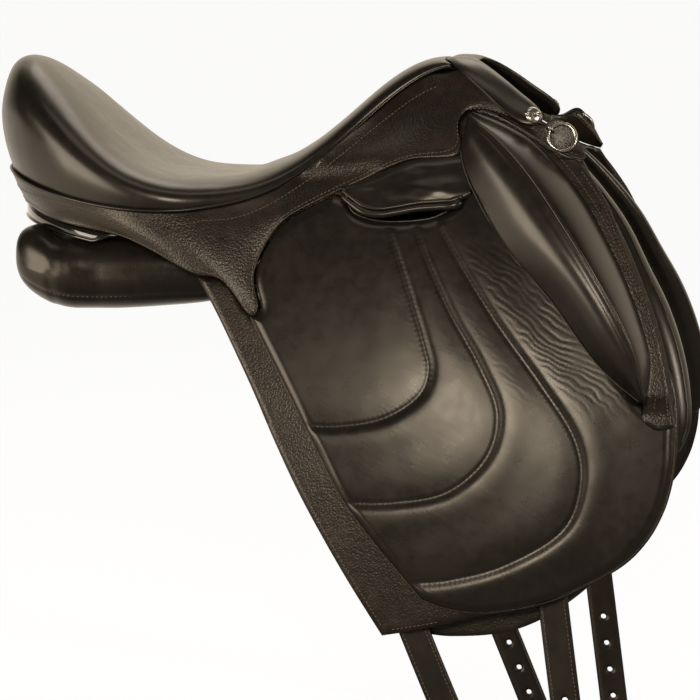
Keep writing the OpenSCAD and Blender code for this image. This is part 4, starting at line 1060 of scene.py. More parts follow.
def dee_staple():
    """Bent wire over the ring."""
    r = (RING_WIRE + STAPLE_WIRE) / 2 + CLEAR
    a = np.linspace(0, np.pi, 24)
    arc = HINGE + r * (np.outer(np.cos(a), HANG) + np.outer(np.sin(a), RING_UP))
    leg = RING_UP * (RING_WIRE / 2 + CLEAR)
    return tube(even(np.vstack([arc[0] - leg, arc, arc[-1] - leg]), 0.5), STAPLE_WIRE, 12,
                up=np.cross(RING_UP, HANG))


pair("dee_staple_wire", dee_staple(), BRIGHT, ("dee_staple",))

# Outlines on the flap, as points (x, z)


def spots(*points):
    return [np.array(p, float) for p in points]


STRIP_TOP = np.array([SKIRT_LOBE[0][0] - 24, SEAT_LOW_Z - 86])
BEND_REAR = np.array([58.0, BEND_Z])
BEND_PAD = BEND_REAR + (STRIP_W, 0)
PAD_CORNER = np.array([185.0, PAD_LOW + 10])
CHIN = np.array([FLAP_FRONT - 15.0, BEND_Z - 57])
FRONT_TOP = POMMEL_FOOT[2] + (0, -BEND_CLEAR)
SLOT_LOW = SEAT_LOW_Z - 39
SLOT_MID = np.array([POMMEL_X - 36.0, SLOT_LOW])
SLOT_REAR = np.array([POMMEL_X - 70.0, SLOT_LOW + 17])
SLOT_FRONT = np.array([POMMEL_X + 24.0, SLOT_LOW + 14])
SLOT_SILL = spots(SLOT_REAR, (SLOT_REAR[0] + 9, SLOT_LOW + 6), SLOT_MID, (SLOT_MID[0] + 38, SLOT_LOW + 3),
                  SLOT_FRONT)
SKIRT_TO_SLOT = [SKIRT_LOBE[1] + (1.5, -2.5), SKIRT_LOBE[2] + (BEND_CLEAR + 2, -1), SKIRT_LOBE[3] + (2, -1),
                 OVER_FLAP[0] + (1, -1.5), OVER_FLAP[1] + (1, -1), OVER_FLAP[1] + (9.5, 3)]
CORNER = spots((389, -92), (389, -108), (386.5, -127), (380, -149), (368, -171), (350, -190), (323, -206),
               (287, -222), (240, -231), (206, -228))
PAD_HEAD = SKIRT_TO_SLOT + SLOT_SILL + [SLOT_FRONT + (17, 22)]
BLOCK_REAR = [BLOCK_TIP[0] + (7, -22)] + run((26, 6), (58, 56), (98, 100), (140, 153), (178, 185))
BLOCK_FRONT = [BLOCK_TIP[1] + (5, -3)] + run(
    (52, -41), (86, -20), (121, 18), (151, 68), (171, 112), (182, 150), (179, 186))
BLOCK_RIDGE = [BLOCK_TIP[1] + (3, -4)] + run(
    (48, -32), (78, -3), (112, 42), (134, 75), (156, 112), (172, 148), (179, 186))
PAD_FRONT = ([PAD_HEAD[-1]] + [p + (6, 7) for p in BLOCK_REAR[2:5]] + run((181, 190), (192, 186), (202, 196))
             + CORNER[:1])
FLAP_HEAD = ([STRIP_TOP, SKIRT_LOBE[0] + (0, -BEND_CLEAR), SKIRT_LOBE[1] + (0, -BEND_CLEAR)]
             + SKIRT_TO_SLOT[1:] + SLOT_SILL
             + [SLOT_FRONT + (8, 30), BLOCK_TIP[0] + (BEND_CLEAR, -4), BLOCK_TIP[1] + (1, -2),
                BLOCK_TIP[2] + (0, -2), POMMEL_FOOT[0] + (0, -1), POMMEL_FOOT[1] + (0, -1), FRONT_TOP])
FLAP_FRONT_EDGE = [FRONT_TOP] + run((155, 50), (176, 95), (187, 123), (198, 163))
FLAP_REAR_EDGE = spots(STRIP_TOP, (6, 3), (35, -49), BEND_REAR, (83, -142), (118, -200), (152, FLAP_LOW))
FLAP_FOOT = spots((152, FLAP_LOW), (196, FLAP_LOW + 8), (230, PAD_LOW - 4), (284, PAD_LOW + 6),
                  (333, PAD_LOW + 32), CHIN + (2, -2))
FLAP_LOW_EDGE = FLAP_FRONT_EDGE + [c + (1.5, -1.0) for c in CORNER[:7]] + FLAP_FOOT[-3::-1]
PAD_REAR = spots(SKIRT_TO_SLOT[0], (62, -44), BEND_PAD, (124, -150), PAD_CORNER)
PAD_LOW_EDGE = CORNER + [PAD_CORNER]


def outline(step, *edges):
    """Closed ring from edges that follow each other."""
    parts = [even(spline(e, np.linspace(0, 1, 500)), step)[:-1] for e in edges]
    return np.vstack(parts)


FLAP_RING = outline(3.0, FLAP_HEAD, FLAP_LOW_EDGE, FLAP_REAR_EDGE[::-1])
PAD_RING = outline(2.5, PAD_HEAD, PAD_FRONT, PAD_LOW_EDGE, PAD_REAR[::-1])


def flap_face(q):
    """Outer face of the flap leather, with a slow ripple."""
    return 0.25 * noise(q[:, 0], q[:, 1], 45, 11)


FLAP = side_slab(FLAP_RING, 4.0, flap_face, -FLAP_T, edge=1.4)
pair("flap_leather", FLAP, GRAINED, ("flap_upper", "flap_lower"), bends=True)

# Sewn channels of the padded face
CHANNELS = [curve(c, 2.0) for c in (
    [[145, 80], [163, 36], [180, -10], [186, -34], [178, -55], [150, -73], [113, -80], [84, -80]],
    [[167, 82], [179, 55], [203, 10], [228, -30], [244, -68], [236, -104], [204, -132], [160, -141],
     [122, -142]],
    [[186, 85], [204, 57], [240, 5], [276, -41], [307, -86], [314, -124], [300, -162], [255, -190],
     [210, -203], [172, -207]])]
SEAM_PITCH, CREASE_STEP, CREASE_DEPTH, PAD_STEP = 4.2, 5.2, 0.24, 1.35


def seam_relief(s):
    """Height beside a sewn channel: a soft slope on its inner side, a full roll on its outer side."""
    inner = -0.45 * np.exp(-(s / 1.8) ** 2) - 1.05 * np.exp(-(np.abs(s) / 12) ** 1.5)
    outer = -1.5 * np.exp(-(s / 4.5) ** 2) + 0.7 * (s / 13) * np.exp(0.5 - 0.5 * (s / 13) ** 2)
    return np.where(s < 0, inner, outer)


def pad_face(q):
    """Outer face of the padded flap: rounded at its edge, drawn in along its sewn channels."""
    x, z = q[:, 0], q[:, 1]
    edge = nearest(q, PAD_RING, True)[0]
    h = PAD_T * arch(edge / 9)
    room = ease(edge / 8)
    from_seam = []
    for c in CHANNELS:
        d, along, side = nearest(q, c)
        s = d * side
        from_seam.append(s)
        pucker = 0.07 * np.cos(2 * np.pi * along / SEAM_PITCH) * np.exp(-((d - 2.4) / 1.6) ** 2)
        h += (seam_relief(s) + pucker) * room
    # Creases that the rider's leg presses in beside the knee block
    fold = x * 0.55 + z * 0.84 + 7 * noise(x, z, 44, 21) + 2.2 * noise(x, z, 9, 25)
    dent = (1 - np.abs(np.sin(np.pi * fold / CREASE_STEP))) ** 2.2
    tall = ease((76 - z) / 22) * ease((z + 82) / 45)
    deep = ease((from_seam[2] - 4) / 9) * np.clip(0.85 + 0.6 * noise(x + z, 0.6 * z - x, 17, 22), 0, 1)
    faint = 0.3 * ease((from_seam[1] - 8) / 8) * ease((-from_seam[2] - 8) / 8)
    h -= CREASE_DEPTH * dent * tall * (deep + faint) * room
    h += 0.40 * noise(x, z, 60, 23) * room + 0.08 * noise(x, z, 15, 24) * room
    return PAD_IN + h


PAD = side_slab(PAD_RING, PAD_STEP, pad_face, PAD_IN, edge=0.5)
pair("flap_quilted_pad", PAD, PAD_LEATHER, ("flap_pad_upper", "flap_pad_lower"),
     bends=True)


def channel_stitching():
    how = {"pitch": SEAM_PITCH, "length": 2.6, "thread": 0.55, "lift": -0.15}
    return join(*[side_stitches(c, pad_face, **how) for c in CHANNELS])


pair("channel_stitching", channel_stitching(), DARK_THREAD, bends=True)


def forwards(line):
    """Directions across a line on the side, towards the front."""
    t = unit(np.gradient(line, axis=0))
    n = np.stack([-t[:, 1], t[:, 0]], 1)
    return np.where(n[:, :1] < 0, -n, n)


def strip_stitching():
    """Rows along the grained strip behind the pad and along the foot of the flap."""
    rear = curve(FLAP_REAR_EDGE, 2.0)
    foot = curve(FLAP_FOOT, 2.0)[4:-4] + (0, 4.0)
    return join(side_stitches((rear + forwards(rear) * 4.5)[6:-3], 0.15), side_stitches(foot[:22], 0.15))


pair("strip_stitching", strip_stitching(), THREAD, bends=True)


def pad_piping():
    """Thin bound edge along the rear and the foot of the pad."""
    q = np.vstack([curve(PAD_REAR, 2.5)[:-1], curve(PAD_LOW_EDGE[::-1], 2.5)])
    return tube(on_side(q, PAD_IN + 0.6), 1.5, 8)


# The bound edge is paler: worn edge colour and a painted edge highlight.
pair("pad_bound_edge", pad_piping(), EDGE_WEAR_AND_HIGHLIGHT, bends=True)

# Stirrup leather's slot

COVER_SILL = [SLOT_REAR + p for p in (
    (-5, 5), (5, -2), (16, -8.5), (29, -10.5), (44, -8.5), (60, -5.5), (77, -4), (92, -2.5), (106, 5))]
COVER_HEAD = [lerp(OVER_FLAP[1], OVER_FLAP[2], 0.35) + (-2, 4), OVER_FLAP[2] + (0, 4),
              OVER_SLOT[0] + (0, 4), OVER_SLOT[1] + (8, 4)]


def bar_cover():
    """Smooth leather over the stirrup bar, full above the slot's lip."""
    u, v = np.meshgrid(np.linspace(0, 1, 90), np.linspace(0, 1, 32))
    g = coons(COVER_HEAD, COVER_SILL, [COVER_HEAD[0], COVER_SILL[0]], [COVER_HEAD[-1], COVER_SILL[-1]], u, v)
    x, z = g[..., 0], g[..., 1]
    soft = arch((1 - v) / 0.14) * ease(u * 9)
    full = 3.0 * np.exp(-((x - 186) / 30) ** 2 - ((z - 113) / 9) ** 2)
    crease = 0.5 * noise(x * 0.35 + z * 0.3, z - x * 0.12, 5, 31) * np.sin(np.pi * v)
    rise = ease(v / 0.3)
    face = on_side(g, lerp(-0.8, lerp(0.5, PAD_T - 1.2, soft) + (full + crease) * soft, rise))
    back = on_side(g, -FLAP_T)
    rings = [np.vstack([face[:, k], back[::-2, k]]) for k in range(face.shape[1])]
    return loft(rings)


pair("bar_cover_leather", bar_cover(), SMOOTH, ("bar_cover",))


def slot_lip():
    """Rolled lip in two cords over the slot, swelling towards its front end."""
    n = 120
    t = np.linspace(0.02, 0.93, n)
    q = spline(COVER_SILL, t)
    size = lerp(0.45, 0.85, ease(t * 4)) * (1 + 0.5 * ease((t - 0.80) / 0.12))
    blunt = np.sqrt(np.clip(1 - np.abs(2 * np.linspace(0, 1, n) - 1) ** 16, 0.02, 1))
    a = circle(18)
    cords = []
    for d, up, out in ((LIP_D, 0.0, LIP_D / 2), (LIP_D * 0.7, 4.6, LIP_D * 0.36)):
        mid = on_side(q + np.array([0, up]), PAD_T - 2 + out + CLEAR - 0.6)
        r = d / 2 * size * blunt
        ring = np.stack([np.cos(a), np.sin(a)], -1)[None] * r[:, None, None]
        cords.append(loft(sections(mid, side_up(q), ring)))
    return join(*cords)


pair("slot_rolled_lip", slot_lip(), SMOOTH, ("slot_lip",))


def slot_rim():
    q = curve(SLOT_SILL, 1.5)
    return tube(on_side(q + np.array([0, 0.4]), PAD_IN + 1.8), 2.6, 10)


pair("slot_lower_rim", slot_rim(), SMOOTH)

# Knee block and the grained strip in front of it


def block_height(s):
    h = BLOCK_H * np.sin(np.pi * lerp(0.06, 0.97, s)) ** 0.55
    return h * lerp(0.25, 1, arch(s / 0.07)) * lerp(0.15, 1, arch((1 - s) / 0.06))


def block_foot(s):
    """Height at which the block's rear face leaves the pad."""
    return np.minimum(PAD_T - 0.6, 0.5 * block_height(s))


def block_rings():
    n = 20
    t = np.linspace(0, 1, n, endpoint=False)
    steep, crown = 1.5 * (t + 0.001), 0.86 + 0.14 * t
    bulge = (steep ** -6 + crown ** -6) ** (-1 / 6)
    groove = np.exp(-((np.arange(n) - 1.2) / 0.8) ** 2)
    rings = []
    for s in np.linspace(0.005, 0.998, 120):
        a, b, r = spline(BLOCK_REAR, s), spline(BLOCK_FRONT, s), spline(BLOCK_RIDGE, s)
        h, foot = float(block_height(s)), float(block_foot(s))
        rear = lerp(a, r, t[:, None])
        rear_h = foot + (h - foot) * bulge + 0.2 * noise(rear[:, 0], rear[:, 1], 30, 41) * np.sin(np.pi * t)
        front = lerp(r, b, (t ** 1.2)[:, None])
        front_h = 1 + (h - 1) * np.cos(np.pi / 2 * t) ** 0.6
        front_h = np.maximum(front_h - np.minimum(groove, 0.3 * h), 0.6)
        rear_h = np.maximum(rear_h - np.minimum(groove[::-1], 0.3 * h), 0.6)
        base = np.array([b, b, lerp(b, a, 0.33), lerp(b, a, 0.67), a])
        rings.append(on_side(np.vstack([rear, front, base]), PAD_IN + np.r_[rear_h, front_h, 1, 0, 0, 0, 0]))
    return rings


pair("knee_block_leather", loft(block_rings()), SMOOTH, ("knee_block",))


def block_piping():
    """Cord along the ridge, and a thin cord where the block's rear edge meets the pad."""
    s = np.linspace(0.03, 0.975, 240)
    ridge = on_side(spline(BLOCK_RIDGE, s), PAD_IN + block_height(s) - 0.5)
    s = np.linspace(0.02, 0.97, 200)
    rear = on_side(spline(BLOCK_REAR, s) + np.array([-0.3, -0.3]), PAD_IN + block_foot(s))
    return tube(even(ridge, 1.5), 2.0, 10), tube(even(rear, 1.5), 1.5, 8)


RIDGE_CORD, REAR_CORD = block_piping()
pair("knee_block_piping", RIDGE_CORD, SMOOTH)
# The rear edge cord is paler: worn edge colour and a painted edge highlight.
pair("knee_block_rear_edge", REAR_CORD, EDGE_WEAR_AND_HIGHLIGHT)

BORDER_INNER = [p + (-4, -2) for p in BLOCK_FRONT[1:7]] + [BLOCK_FRONT[7] + (-2, -8)]
BORDER_OUTER = ([POMMEL_FOOT[0] + (0, -3), POMMEL_FOOT[1] + (0, -3), FRONT_TOP + (-2, -1)]
                + run((140, 21), (155, 52), (175, 97), (186, 125), (196, 162), (203, 203)))
BORDER_TAB = [BORDER_INNER[-1]] + run((179, 199), (190, 205)) + [BORDER_OUTER[-1]]
BORDER_RING = outline(2.0, BORDER_OUTER, BORDER_TAB[::-1], BORDER_INNER[::-1])


def border_face(q):
    """Outer face of the grained strip, which rises over the pad at its foot."""
    return PAD_IN + BORDER_T + (PAD_T - 1.0) * ease((-52 - q[:, 1]) / 18)


BORDER = side_slab(BORDER_RING, 3.0, border_face, PAD_IN, edge=0.9)
pair("front_border_leather", BORDER, GRAINED, ("front_border",))


def border_stitching():
    inner = curve(BORDER_INNER, 2.0)
    outer = curve(BORDER_OUTER[2:], 2.0)
    return join(*[side_stitches((line + forwards(line) * way)[3:-3], border_face)
                  for line, way in ((inner, 9.0), (outer, -3.5))])


pair("front_border_stitching", border_stitching(), THREAD)

# Panel and what is sewn to it

PANEL_ROWS = np.array([
    [0.00, 0.24, 0.26, 0.74, 8], [0.025, 0.56, 0.76, 0.66, 8], [0.08, 0.72, 0.93, 0.55, 6],
    [0.17, 0.85, 0.99, 0.50, 0], [0.32, 0.86, 0.92, 0.54, 0], [0.42, 0.78, 0.76, 0.57, 4],
    [0.52, 0.68, 0.62, 0.64, 12], [0.64, 0.70, 0.52, 0.80, 26], [0.78, 0.80, 0.46, 1.00, 44],
    [0.92, 0.86, 0.40, 1.18, 54], [0.98, 0.78, 0.32, 1.20, 58], [1.00, 0.56, 0.14, 1.20, 58]])
PANEL_BACK, PANEL_FRONT = CANTLE_BACK - 31, POMMEL_X + 92


def panel_station(row):
    """Place and half sizes of the panel's section for a row of shares."""
    s, wide, deep, lift, tilt = row
    a, b = PANEL_HALF * wide, PANEL_DEPTH / 2 * deep
    far = ease((s - 0.10) / 0.06)
    yc = lerp(CHANNEL_GAP / 2 + PANEL_HALF, CHANNEL_GAP / 2 + 2 + a * np.cos(np.radians(tilt)) + 8 * s, far)
    return np.array([lerp(-PANEL_BACK, PANEL_FRONT, s), a, b, b, yc, PANEL_LOW + PANEL_DEPTH * lift, tilt])


def panel_ring(station, angle):
    """Section of the panel, at angles from its outer edge over its top."""
    x, a, low, high, yc, zc, tilt = station
    tilt = np.radians(tilt)
    square = ease((x + 60) / 90)
    u = np.sign(np.cos(angle)) * np.abs(np.cos(angle)) ** lerp(0.86, 0.62, square) * a
    v = np.abs(np.sin(angle)) ** lerp(0.88, 0.72, square) * np.where(np.sin(angle) > 0, high, -low)
    return np.stack([np.full_like(u, x), -(yc + u * np.cos(tilt) + v * np.sin(tilt)),
                     zc - u * np.sin(tilt) + v * np.cos(tilt)], -1)


def panel_stations():
    """Sections from the panel's round rear end to its front."""
    body = [panel_station(spline(PANEL_ROWS, k)) for k in np.linspace(3 / 11, 1, 90)]
    x, a, low, high, yc, zc, tilt = body[0]
    reach = x + PANEL_BACK
    cap = []
    for angle in np.linspace(np.pi / 2 * 0.985, 0.02, 56):
        share = np.sin(angle)
        round_in = ease(share * 2)
        thin, full = (1 - share ** 2.6) ** (1 / 2.6), (1 - share ** 3) ** (1 / 3)
        upper = lerp(lerp(high, 30, ease(share / 0.5)), 40, ease((share - 0.4) / 0.4))
        cap.append([x - reach * share, lerp(a, 40, round_in) * thin, lerp(low, 35, round_in) * full,
                    upper * full, lerp(yc, CHANNEL_GAP / 2 + PANEL_HALF, round_in),
                    zc + 13 * share ** 2.2, tilt])
    return np.array(cap + body)


GUSSET = -0.62  # Angle of the gusset's seam round the panel's section
STATIONS = panel_stations()


def panel_body():
    """Wool panel with a sewn gusset low on its side and creases across its rear."""
    a = circle(96)
    off = (a - GUSSET + np.pi) % (2 * np.pi) - np.pi
    rings = []
    for station in STATIONS:
        ring = panel_ring(station, a)
        n = unit(ring - ring.mean(0))
        x = np.full_like(a, station[0])
        near_end = ease((station[0] + PANEL_BACK) / 20)
        groove = 1.6 * np.exp(-(off / 0.045) ** 2) * near_end
        crease = 0.35 * noise(x + 4 * np.sin(a), a * 3, 7, 51) * ease((-100 - x) / 40) * near_end
        slow = 0.5 * noise(x, a * 30, 45, 52) * near_end
        rings.append(ring + n * (crease + slow - groove - 0.6 * near_end)[:, None])
    return loft(rings)


pair("panel_wool", panel_body(), PANEL, ("panel",))


def panel_stitching():
    p, n = [], []
    for station in STATIONS[8:116]:
        at = panel_ring(station, np.array([GUSSET]))[0]
        p.append(at)
        n.append(unit(at - panel_ring(station, np.linspace(0, 2 * np.pi, 24)).mean(0)))
    both = even(np.column_stack([p, n]), 1.5)
    return stitches(both[:, :3] - both[:, 3:] * 1.7, both[:, 3:], pitch=4.2, length=2.8)


pair("panel_gusset_stitching", panel_stitching(), THREAD)

RIM_T, RIM_H = 3, 12
RIM_X = lerp(RIM_INSET + 4 - CANTLE_BACK, WIDE_X - 28, np.linspace(0, 1, 120) ** 1.6)


def rim_rail(x, out, down):
    tuck = ease((x + 112) / 20)
    tall = lerp(1.0, 0.68, ease((x + 190) / 75)) * (1 - 0.85 * tuck)
    return np.stack([x, -(rim_half(x) - 1.5 + out - 4 * tuck), cantle_foot(x) - down * tall], -1)


def panel_rim():
    """Glossy rim under the cantle."""
    prof = [(-RIM_T, 1), (-1.2, 0.4), (0.8, 1), (2.0, 2.6), (2.8, 4.6), (3.1, 6.6), (3.2, 8.4), (3.1, 10.2),
            (2.8, RIM_H), (2.0, RIM_H + 0.4), (1.0, RIM_H), (-1.4, 7)]
    rings = np.stack([rim_rail(RIM_X, o, d) for o, d in prof], 1)
    return loft(rings)


RIM_CORD = tube(even(rim_rail(RIM_X, 2.8, RIM_H + 0.8), 2.0), 2.6, 10)
pair("panel_rim_patent", panel_rim(), PATENT, ("panel_rim",))
pair("panel_rim_piping", RIM_CORD, PATENT)


def channel_lining():
    s, q = np.meshgrid(np.linspace(0, 1, 90), np.linspace(-1, 1, 40), indexing="ij")
    x = lerp(20 - PANEL_BACK, POMMEL_X + 6, s)
    zc = PANEL_LOW + PANEL_DEPTH * 0.72 + (POMMEL_Z - 32 - PANEL_DEPTH) * s ** 3.2
    top = np.stack([x, q * (CHANNEL_GAP / 2 + 3), zc - 10 * q * q * (1 + 2 * s) + 3], -1)
    top[..., 2] += 0.4 * noise(x, q * 37, 20, 61)
    return thicken(turned(grid(top), (0, 0, 1)), 3.0)


centre("channel_lining_leather", channel_lining(), PANEL, ("channel_lining",))

# Sweat flap and the roll along its front edge

HEM_ANGLE = np.radians(np.array([337.5]))
HEM = np.array([panel_ring(panel_station(row), HEM_ANGLE)[0] for row in PANEL_ROWS[5:11]])
SWEAT_HEAD = [[24, 6], [110, 12], [200, 12], [POMMEL_X + 84, 6]]
SWEAT_FOOT = [[170, FLAP_LOW + 2], [208, FLAP_LOW - 3], [263, FLAP_LOW + 4], [314, FLAP_LOW + 34],
              [374, BEND_Z - 62]]
SWEAT_REAR = [[24, 6], [48, -49], [94, -142], [170, FLAP_LOW + 2]]
SWEAT_FRONT = [[POMMEL_X + 84, 6], [372, -25], [FLAP_FRONT + 1, BEND_Z], [374, BEND_Z - 62]]


def sweat_point(u, v):
    """Point of the sweat flap's outer face, sewn to the panel along its top."""
    g = coons(SWEAT_HEAD, SWEAT_FOOT, SWEAT_REAR, SWEAT_FRONT, u, v)
    x = g[..., 0]
    hem = np.stack([x, np.interp(x, HEM[:, 0], HEM[:, 1]) - 2 * CLEAR - SWEAT_T,
                    np.interp(x, HEM[:, 0], HEM[:, 2])], -1)
    row = v * 14
    held = ease((340 - x) / 40)
    sewn = np.maximum(0, 1 - row / 3) ** 1.5 * np.where(row < 1, lerp(1, held, row), held)
    return lerp(on_side(g, SWEAT_OUT), hem, sewn[..., None])


def sweat_flap():
    u, v = np.meshgrid(np.linspace(0, 1, 90), np.linspace(0, 1, 90))
    face = sweat_point(u, v)
    edge = np.minimum(np.minimum(u, 1 - u) * 200, np.minimum(v, 1 - v) * 200)
    round_off = 1.2 * (1 - arch(edge / 3))
    inwards = np.array([0, 1.0, 0])
    front, f = turned(grid(face + inwards * round_off[..., None]), -inwards)
    rear = face + inwards * (SWEAT_T - round_off)[..., None]
    return shell(front, rear.reshape(-1, 3), f)


pair("sweat_flap_leather", sweat_flap(), GRAINED, ("sweat_flap",))

ROLL_EDGE = run((102, -16), (127, 12), (149, 42), (167, 76), (184, 108), (197, 142), (205, 175), (208, 205),
                (202, 228))
ROLL_SIDES = 36


def roll_ring(s):
    """Section of the knee roll at s from 0 at its top to 1 at its foot."""
    size = np.sin(np.pi * lerp(0.03, 0.975, s)) ** 0.35
    a = circle(ROLL_SIDES)
    q = spline(ROLL_EDGE, s) + np.stack([ROLL_W * size * (0.5 * np.cos(a) - 0.25), 0 * a], -1)
    tall = size * np.sin(a) / np.sin(np.radians(72)) * 0.95
    return on_side(q, SWEAT_OUT - SWEAT_T - ROLL_T / 2 * (1 - tall))


pair("knee_roll_leather", loft([roll_ring(s) for s in np.linspace(0, 1, 110)]), SMOOTH,
     ("knee_roll",))


def roll_cords():
    """Two cords sewn along the roll."""
    rings = np.array([roll_ring(s) for s in np.linspace(0.04, 0.96, 160)])
    return join(*[tube(even(rings[:, k], 2.0), 1.8, 8) for k in (4, 9)])


pair("knee_roll_piping", roll_cords(), SMOOTH)

# Girth billets

# Name, pivot, lean in degrees, and place in the girth's room
BILLETS = (("front_billet", (258.0, 34.0), 7.5, 0.57), ("rear_billet", (62.0, 30.0), 22.5, 0.43))
BILLET_TOP = 12  # Height of a strap's top over its pivot


def billet_strap(top, lean, share):
    """Strap with a rounded end and buckle holes, bent down over the side, and its stitching."""
    lean = np.radians(lean)
    across, out = np.array([np.cos(lean), 0, np.sin(lean)]), np.array([0, -1.0, 0])
    total = (top[1] + BILLET_TOP - BILLET_END) / np.cos(lean)
    w = BILLET_W / 2

    def hang(down, wide):
        """Points in the middle of the strap, at lengths down it and distances across it."""
        z = top[1] + BILLET_TOP - down * np.cos(lean)
        x = top[0] + (top[1] - z) * np.tan(lean)
        y = -(drape(x, z) - FLAP_T - share * GIRTH_ROOM)
        return np.stack([x, y, z], -1) + np.asarray(wide)[..., None] * across

    arc = np.linspace(0, np.pi, 25)
    ring = np.vstack([
        np.stack([np.full(120, w), np.linspace(0, total - w, 120)], 1),
        np.stack([w * np.cos(arc), total - w + w * np.sin(arc)], 1)[1:-1],
        np.stack([np.full(120, -w), np.linspace(total - w, 0, 120)], 1),
        np.stack([np.linspace(-w, w, 9)[1:-1], np.zeros(7)], 1)])
    turn = circle(24)
    hole = HOLE_D / 2 * np.stack([np.cos(turn), np.sin(turn)], 1)
    holes = [hole + (0, total - BILLET_W - k * HOLE_PITCH) for k in range(HOLES)]
    q, f = fill(ring, 3.2, holes)
    edge = nearest(q, ring, True)[0]
    for h in holes:
        edge = np.minimum(edge, nearest(q, h, True)[0] + 0.25)
    half = out * (BILLET_T / 2 - 0.9 * (1 - arch(edge / 1.4)))[:, None]
    base = hang(q[:, 1], q[:, 0])
    front, f = turned((base + half, f), out)
    rows = [even(hang(np.linspace(8.0, total - w, 300), k) + out * (BILLET_T / 2), 1.5)
            for k in (-w + 3.2, w - 3.2)]
    sewn = join(*[stitches(p, np.tile(out, (len(p), 1))) for p in rows])
    return shell(front, base - half, f), sewn


for strap_name, strap_top, strap_lean, strap_share in BILLETS:
    strap, sewn = billet_strap(strap_top, strap_lean, strap_share)
    pair(strap_name + "_strap", strap, STRAP, (strap_name,), body=strap_name)
    pair(strap_name + "_stitching", sewn, THREAD, body=strap_name)

# Webs under the seat


def under_foam(x, gap):
    first = CREST_X + 0.5 * CANTLE_NOSE
    return seat_row(lerp(NOSE, 1, (x - first) / (POMMEL_X - first)))[2][..., 2] - gap


def wing_half(x):
    s = np.clip((x + CANTLE_BACK) / (CANTLE_BACK + POMMEL_X), 0, 1)
    at_bar = float(drape(POMMEL_X - 38, SEAT_LOW_Z - 14)) - 27
    return lerp(0.74 * SEAT_HALF, at_bar, ease(s * 1.3 - 0.1))


def wing_z(x):
    return float(under_foam(np.array(float(x)), 10)) - 42 * float(ease((x - 20) / 90))


def flat_web(path, across, width, thick):
    """Flat web along a path, with rounded edges and a slight thickening at its selvedges."""
    p = even(np.asarray(path, float), 2.0)
    w, h = width / 2, thick / 2
    half = [(-w + 0.3, 0.45 * h), (-w + 1.0, h), (-w + 2.6, h), (-w + 3.4, 0.8 * h), (0, 0.8 * h)]
    top = half + [(-x, y) for x, y in half[-2::-1]]
    prof = np.array(top + [(x, -y) for x, y in top[::-1]])
    t = unit(np.gradient(p, axis=0))
    n = unit(np.cross(t, np.asarray(across, float)))
    side = unit(np.broadcast_to(np.asarray(across, float), n.shape))
    return loft(p[:, None] + side[:, None] * prof[None, :, :1] + n[:, None] * prof[None, :, 1:])


WEB_W, WEB_T, ARM_ROOM = 34, 2, 26


def girth_web(top, lean, share, start):
    """Webs on both sides, from the tree to beside a billet's top."""
    beside = BILLET_T / 2 + WEB_T / 2 + 4 * CLEAR + 0.2 * BILLET_W * np.sin(np.radians(lean))
    foot = [[top[0], -(float(drape(top[0], z)) - FLAP_T - share * GIRTH_ROOM) + beside, z]
            for z in (top[1] + 10, top[1] - 10)]
    right = flat_web(np.vstack([start, foot]), (1, 0, 0), WEB_W, WEB_T)
    return join(right, mirror(right))


ARM_FOOT = on_side([POMMEL_X + 60, 42], -ARM_ROOM)
ARM_TOP = on_side([POMMEL_X + 48, 100], 8 - ARM_ROOM)
ARM_OUT = unit(np.cross([1, 0, 0], ARM_TOP - ARM_FOOT))
ARM_OUT = ARM_OUT if ARM_OUT[1] < 0 else -ARM_OUT
FRONT_START = [lerp(ARM_FOOT, ARM_TOP, t) + ARM_OUT * 3.3 for t in (0.9, 0.4)]
REAR_X = BILLETS[1][1][0] - 10
REAR_Y = -(float(wing_half(np.array(REAR_X - WEB_W / 2))) + WEB_T / 2 + CLEAR)
REAR_START = [[REAR_X, REAR_Y, wing_z(REAR_X) + up] for up in (2, -11)]
FRONT_WEB, REAR_WEB = [girth_web(*b[1:], start) for b, start in zip(BILLETS, (FRONT_START, REAR_START))]
centre("front_girth_webbing", FRONT_WEB, WEBBING, ("front_girth_web",))
centre("rear_girth_webbing", REAR_WEB, WEBBING, ("rear_girth_web",))


def seat_web():
    """Webbing stretched over the tree."""
    x = np.linspace(40 - CANTLE_BACK + 20.5, 0.62 * POMMEL_X, 90)
    half = np.minimum(30, 0.6 * plan(x))
    q = np.linspace(-1, 1, 21)
    z = under_foam(x, 1.0)
    top = np.stack(np.broadcast_arrays(x[:, None], half[:, None] * q, z[:, None]), -1)
    return thicken(turned(grid(top), (0, 0, 1)), WEB_T)


centre("seat_webbing_strips", seat_web(), WEBBING, ("seat_webbing",))

# Finishes of the solids that stay

KEPT = {"tree": WOOD, "gullet_plate": PLATE, "bar_rivets": PLATE, "stirrup_bar": FORGED,
        "bar_catch": FORGED, "catch_pin": FORGED}
for node_name, node_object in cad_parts.items():
    base = node_name.removesuffix("_right").removesuffix("_left")
    if base in KEPT:
        node_object.data.materials.clear()
        node_object.data.materials.append(KEPT[base])

# Studio

LOOK_AT = Vector((0.093, 0.0, -0.039))
LIGHT_DISTANCE, CAMERA_DISTANCE = 3.0, 3.2
CAMERA_AZIMUTH, CAMERA_ELEVATION = 9, 7
# Name, azimuth, elevation, size, power and colour of each light
LIGHTS = (
    ("key_light", 6, 20.5, (0.9, 0.55), 28, (1.0, 0.93, 0.83)),
    ("rear_light", -50, 5, (2.1, 1.6), 60, (1.0, 0.93, 0.83)),
    ("overhead_light", 20, 80, (1.6, 1.0), 6, (1.0, 0.96, 0.90)),
    ("front_light", 62, 20, (0.4, 0.8), 20, (1.0, 0.94, 0.86)),
    ("far_light", 172, 50, (1.6, 1.2), 10, (1.0, 0.94, 0.86)))


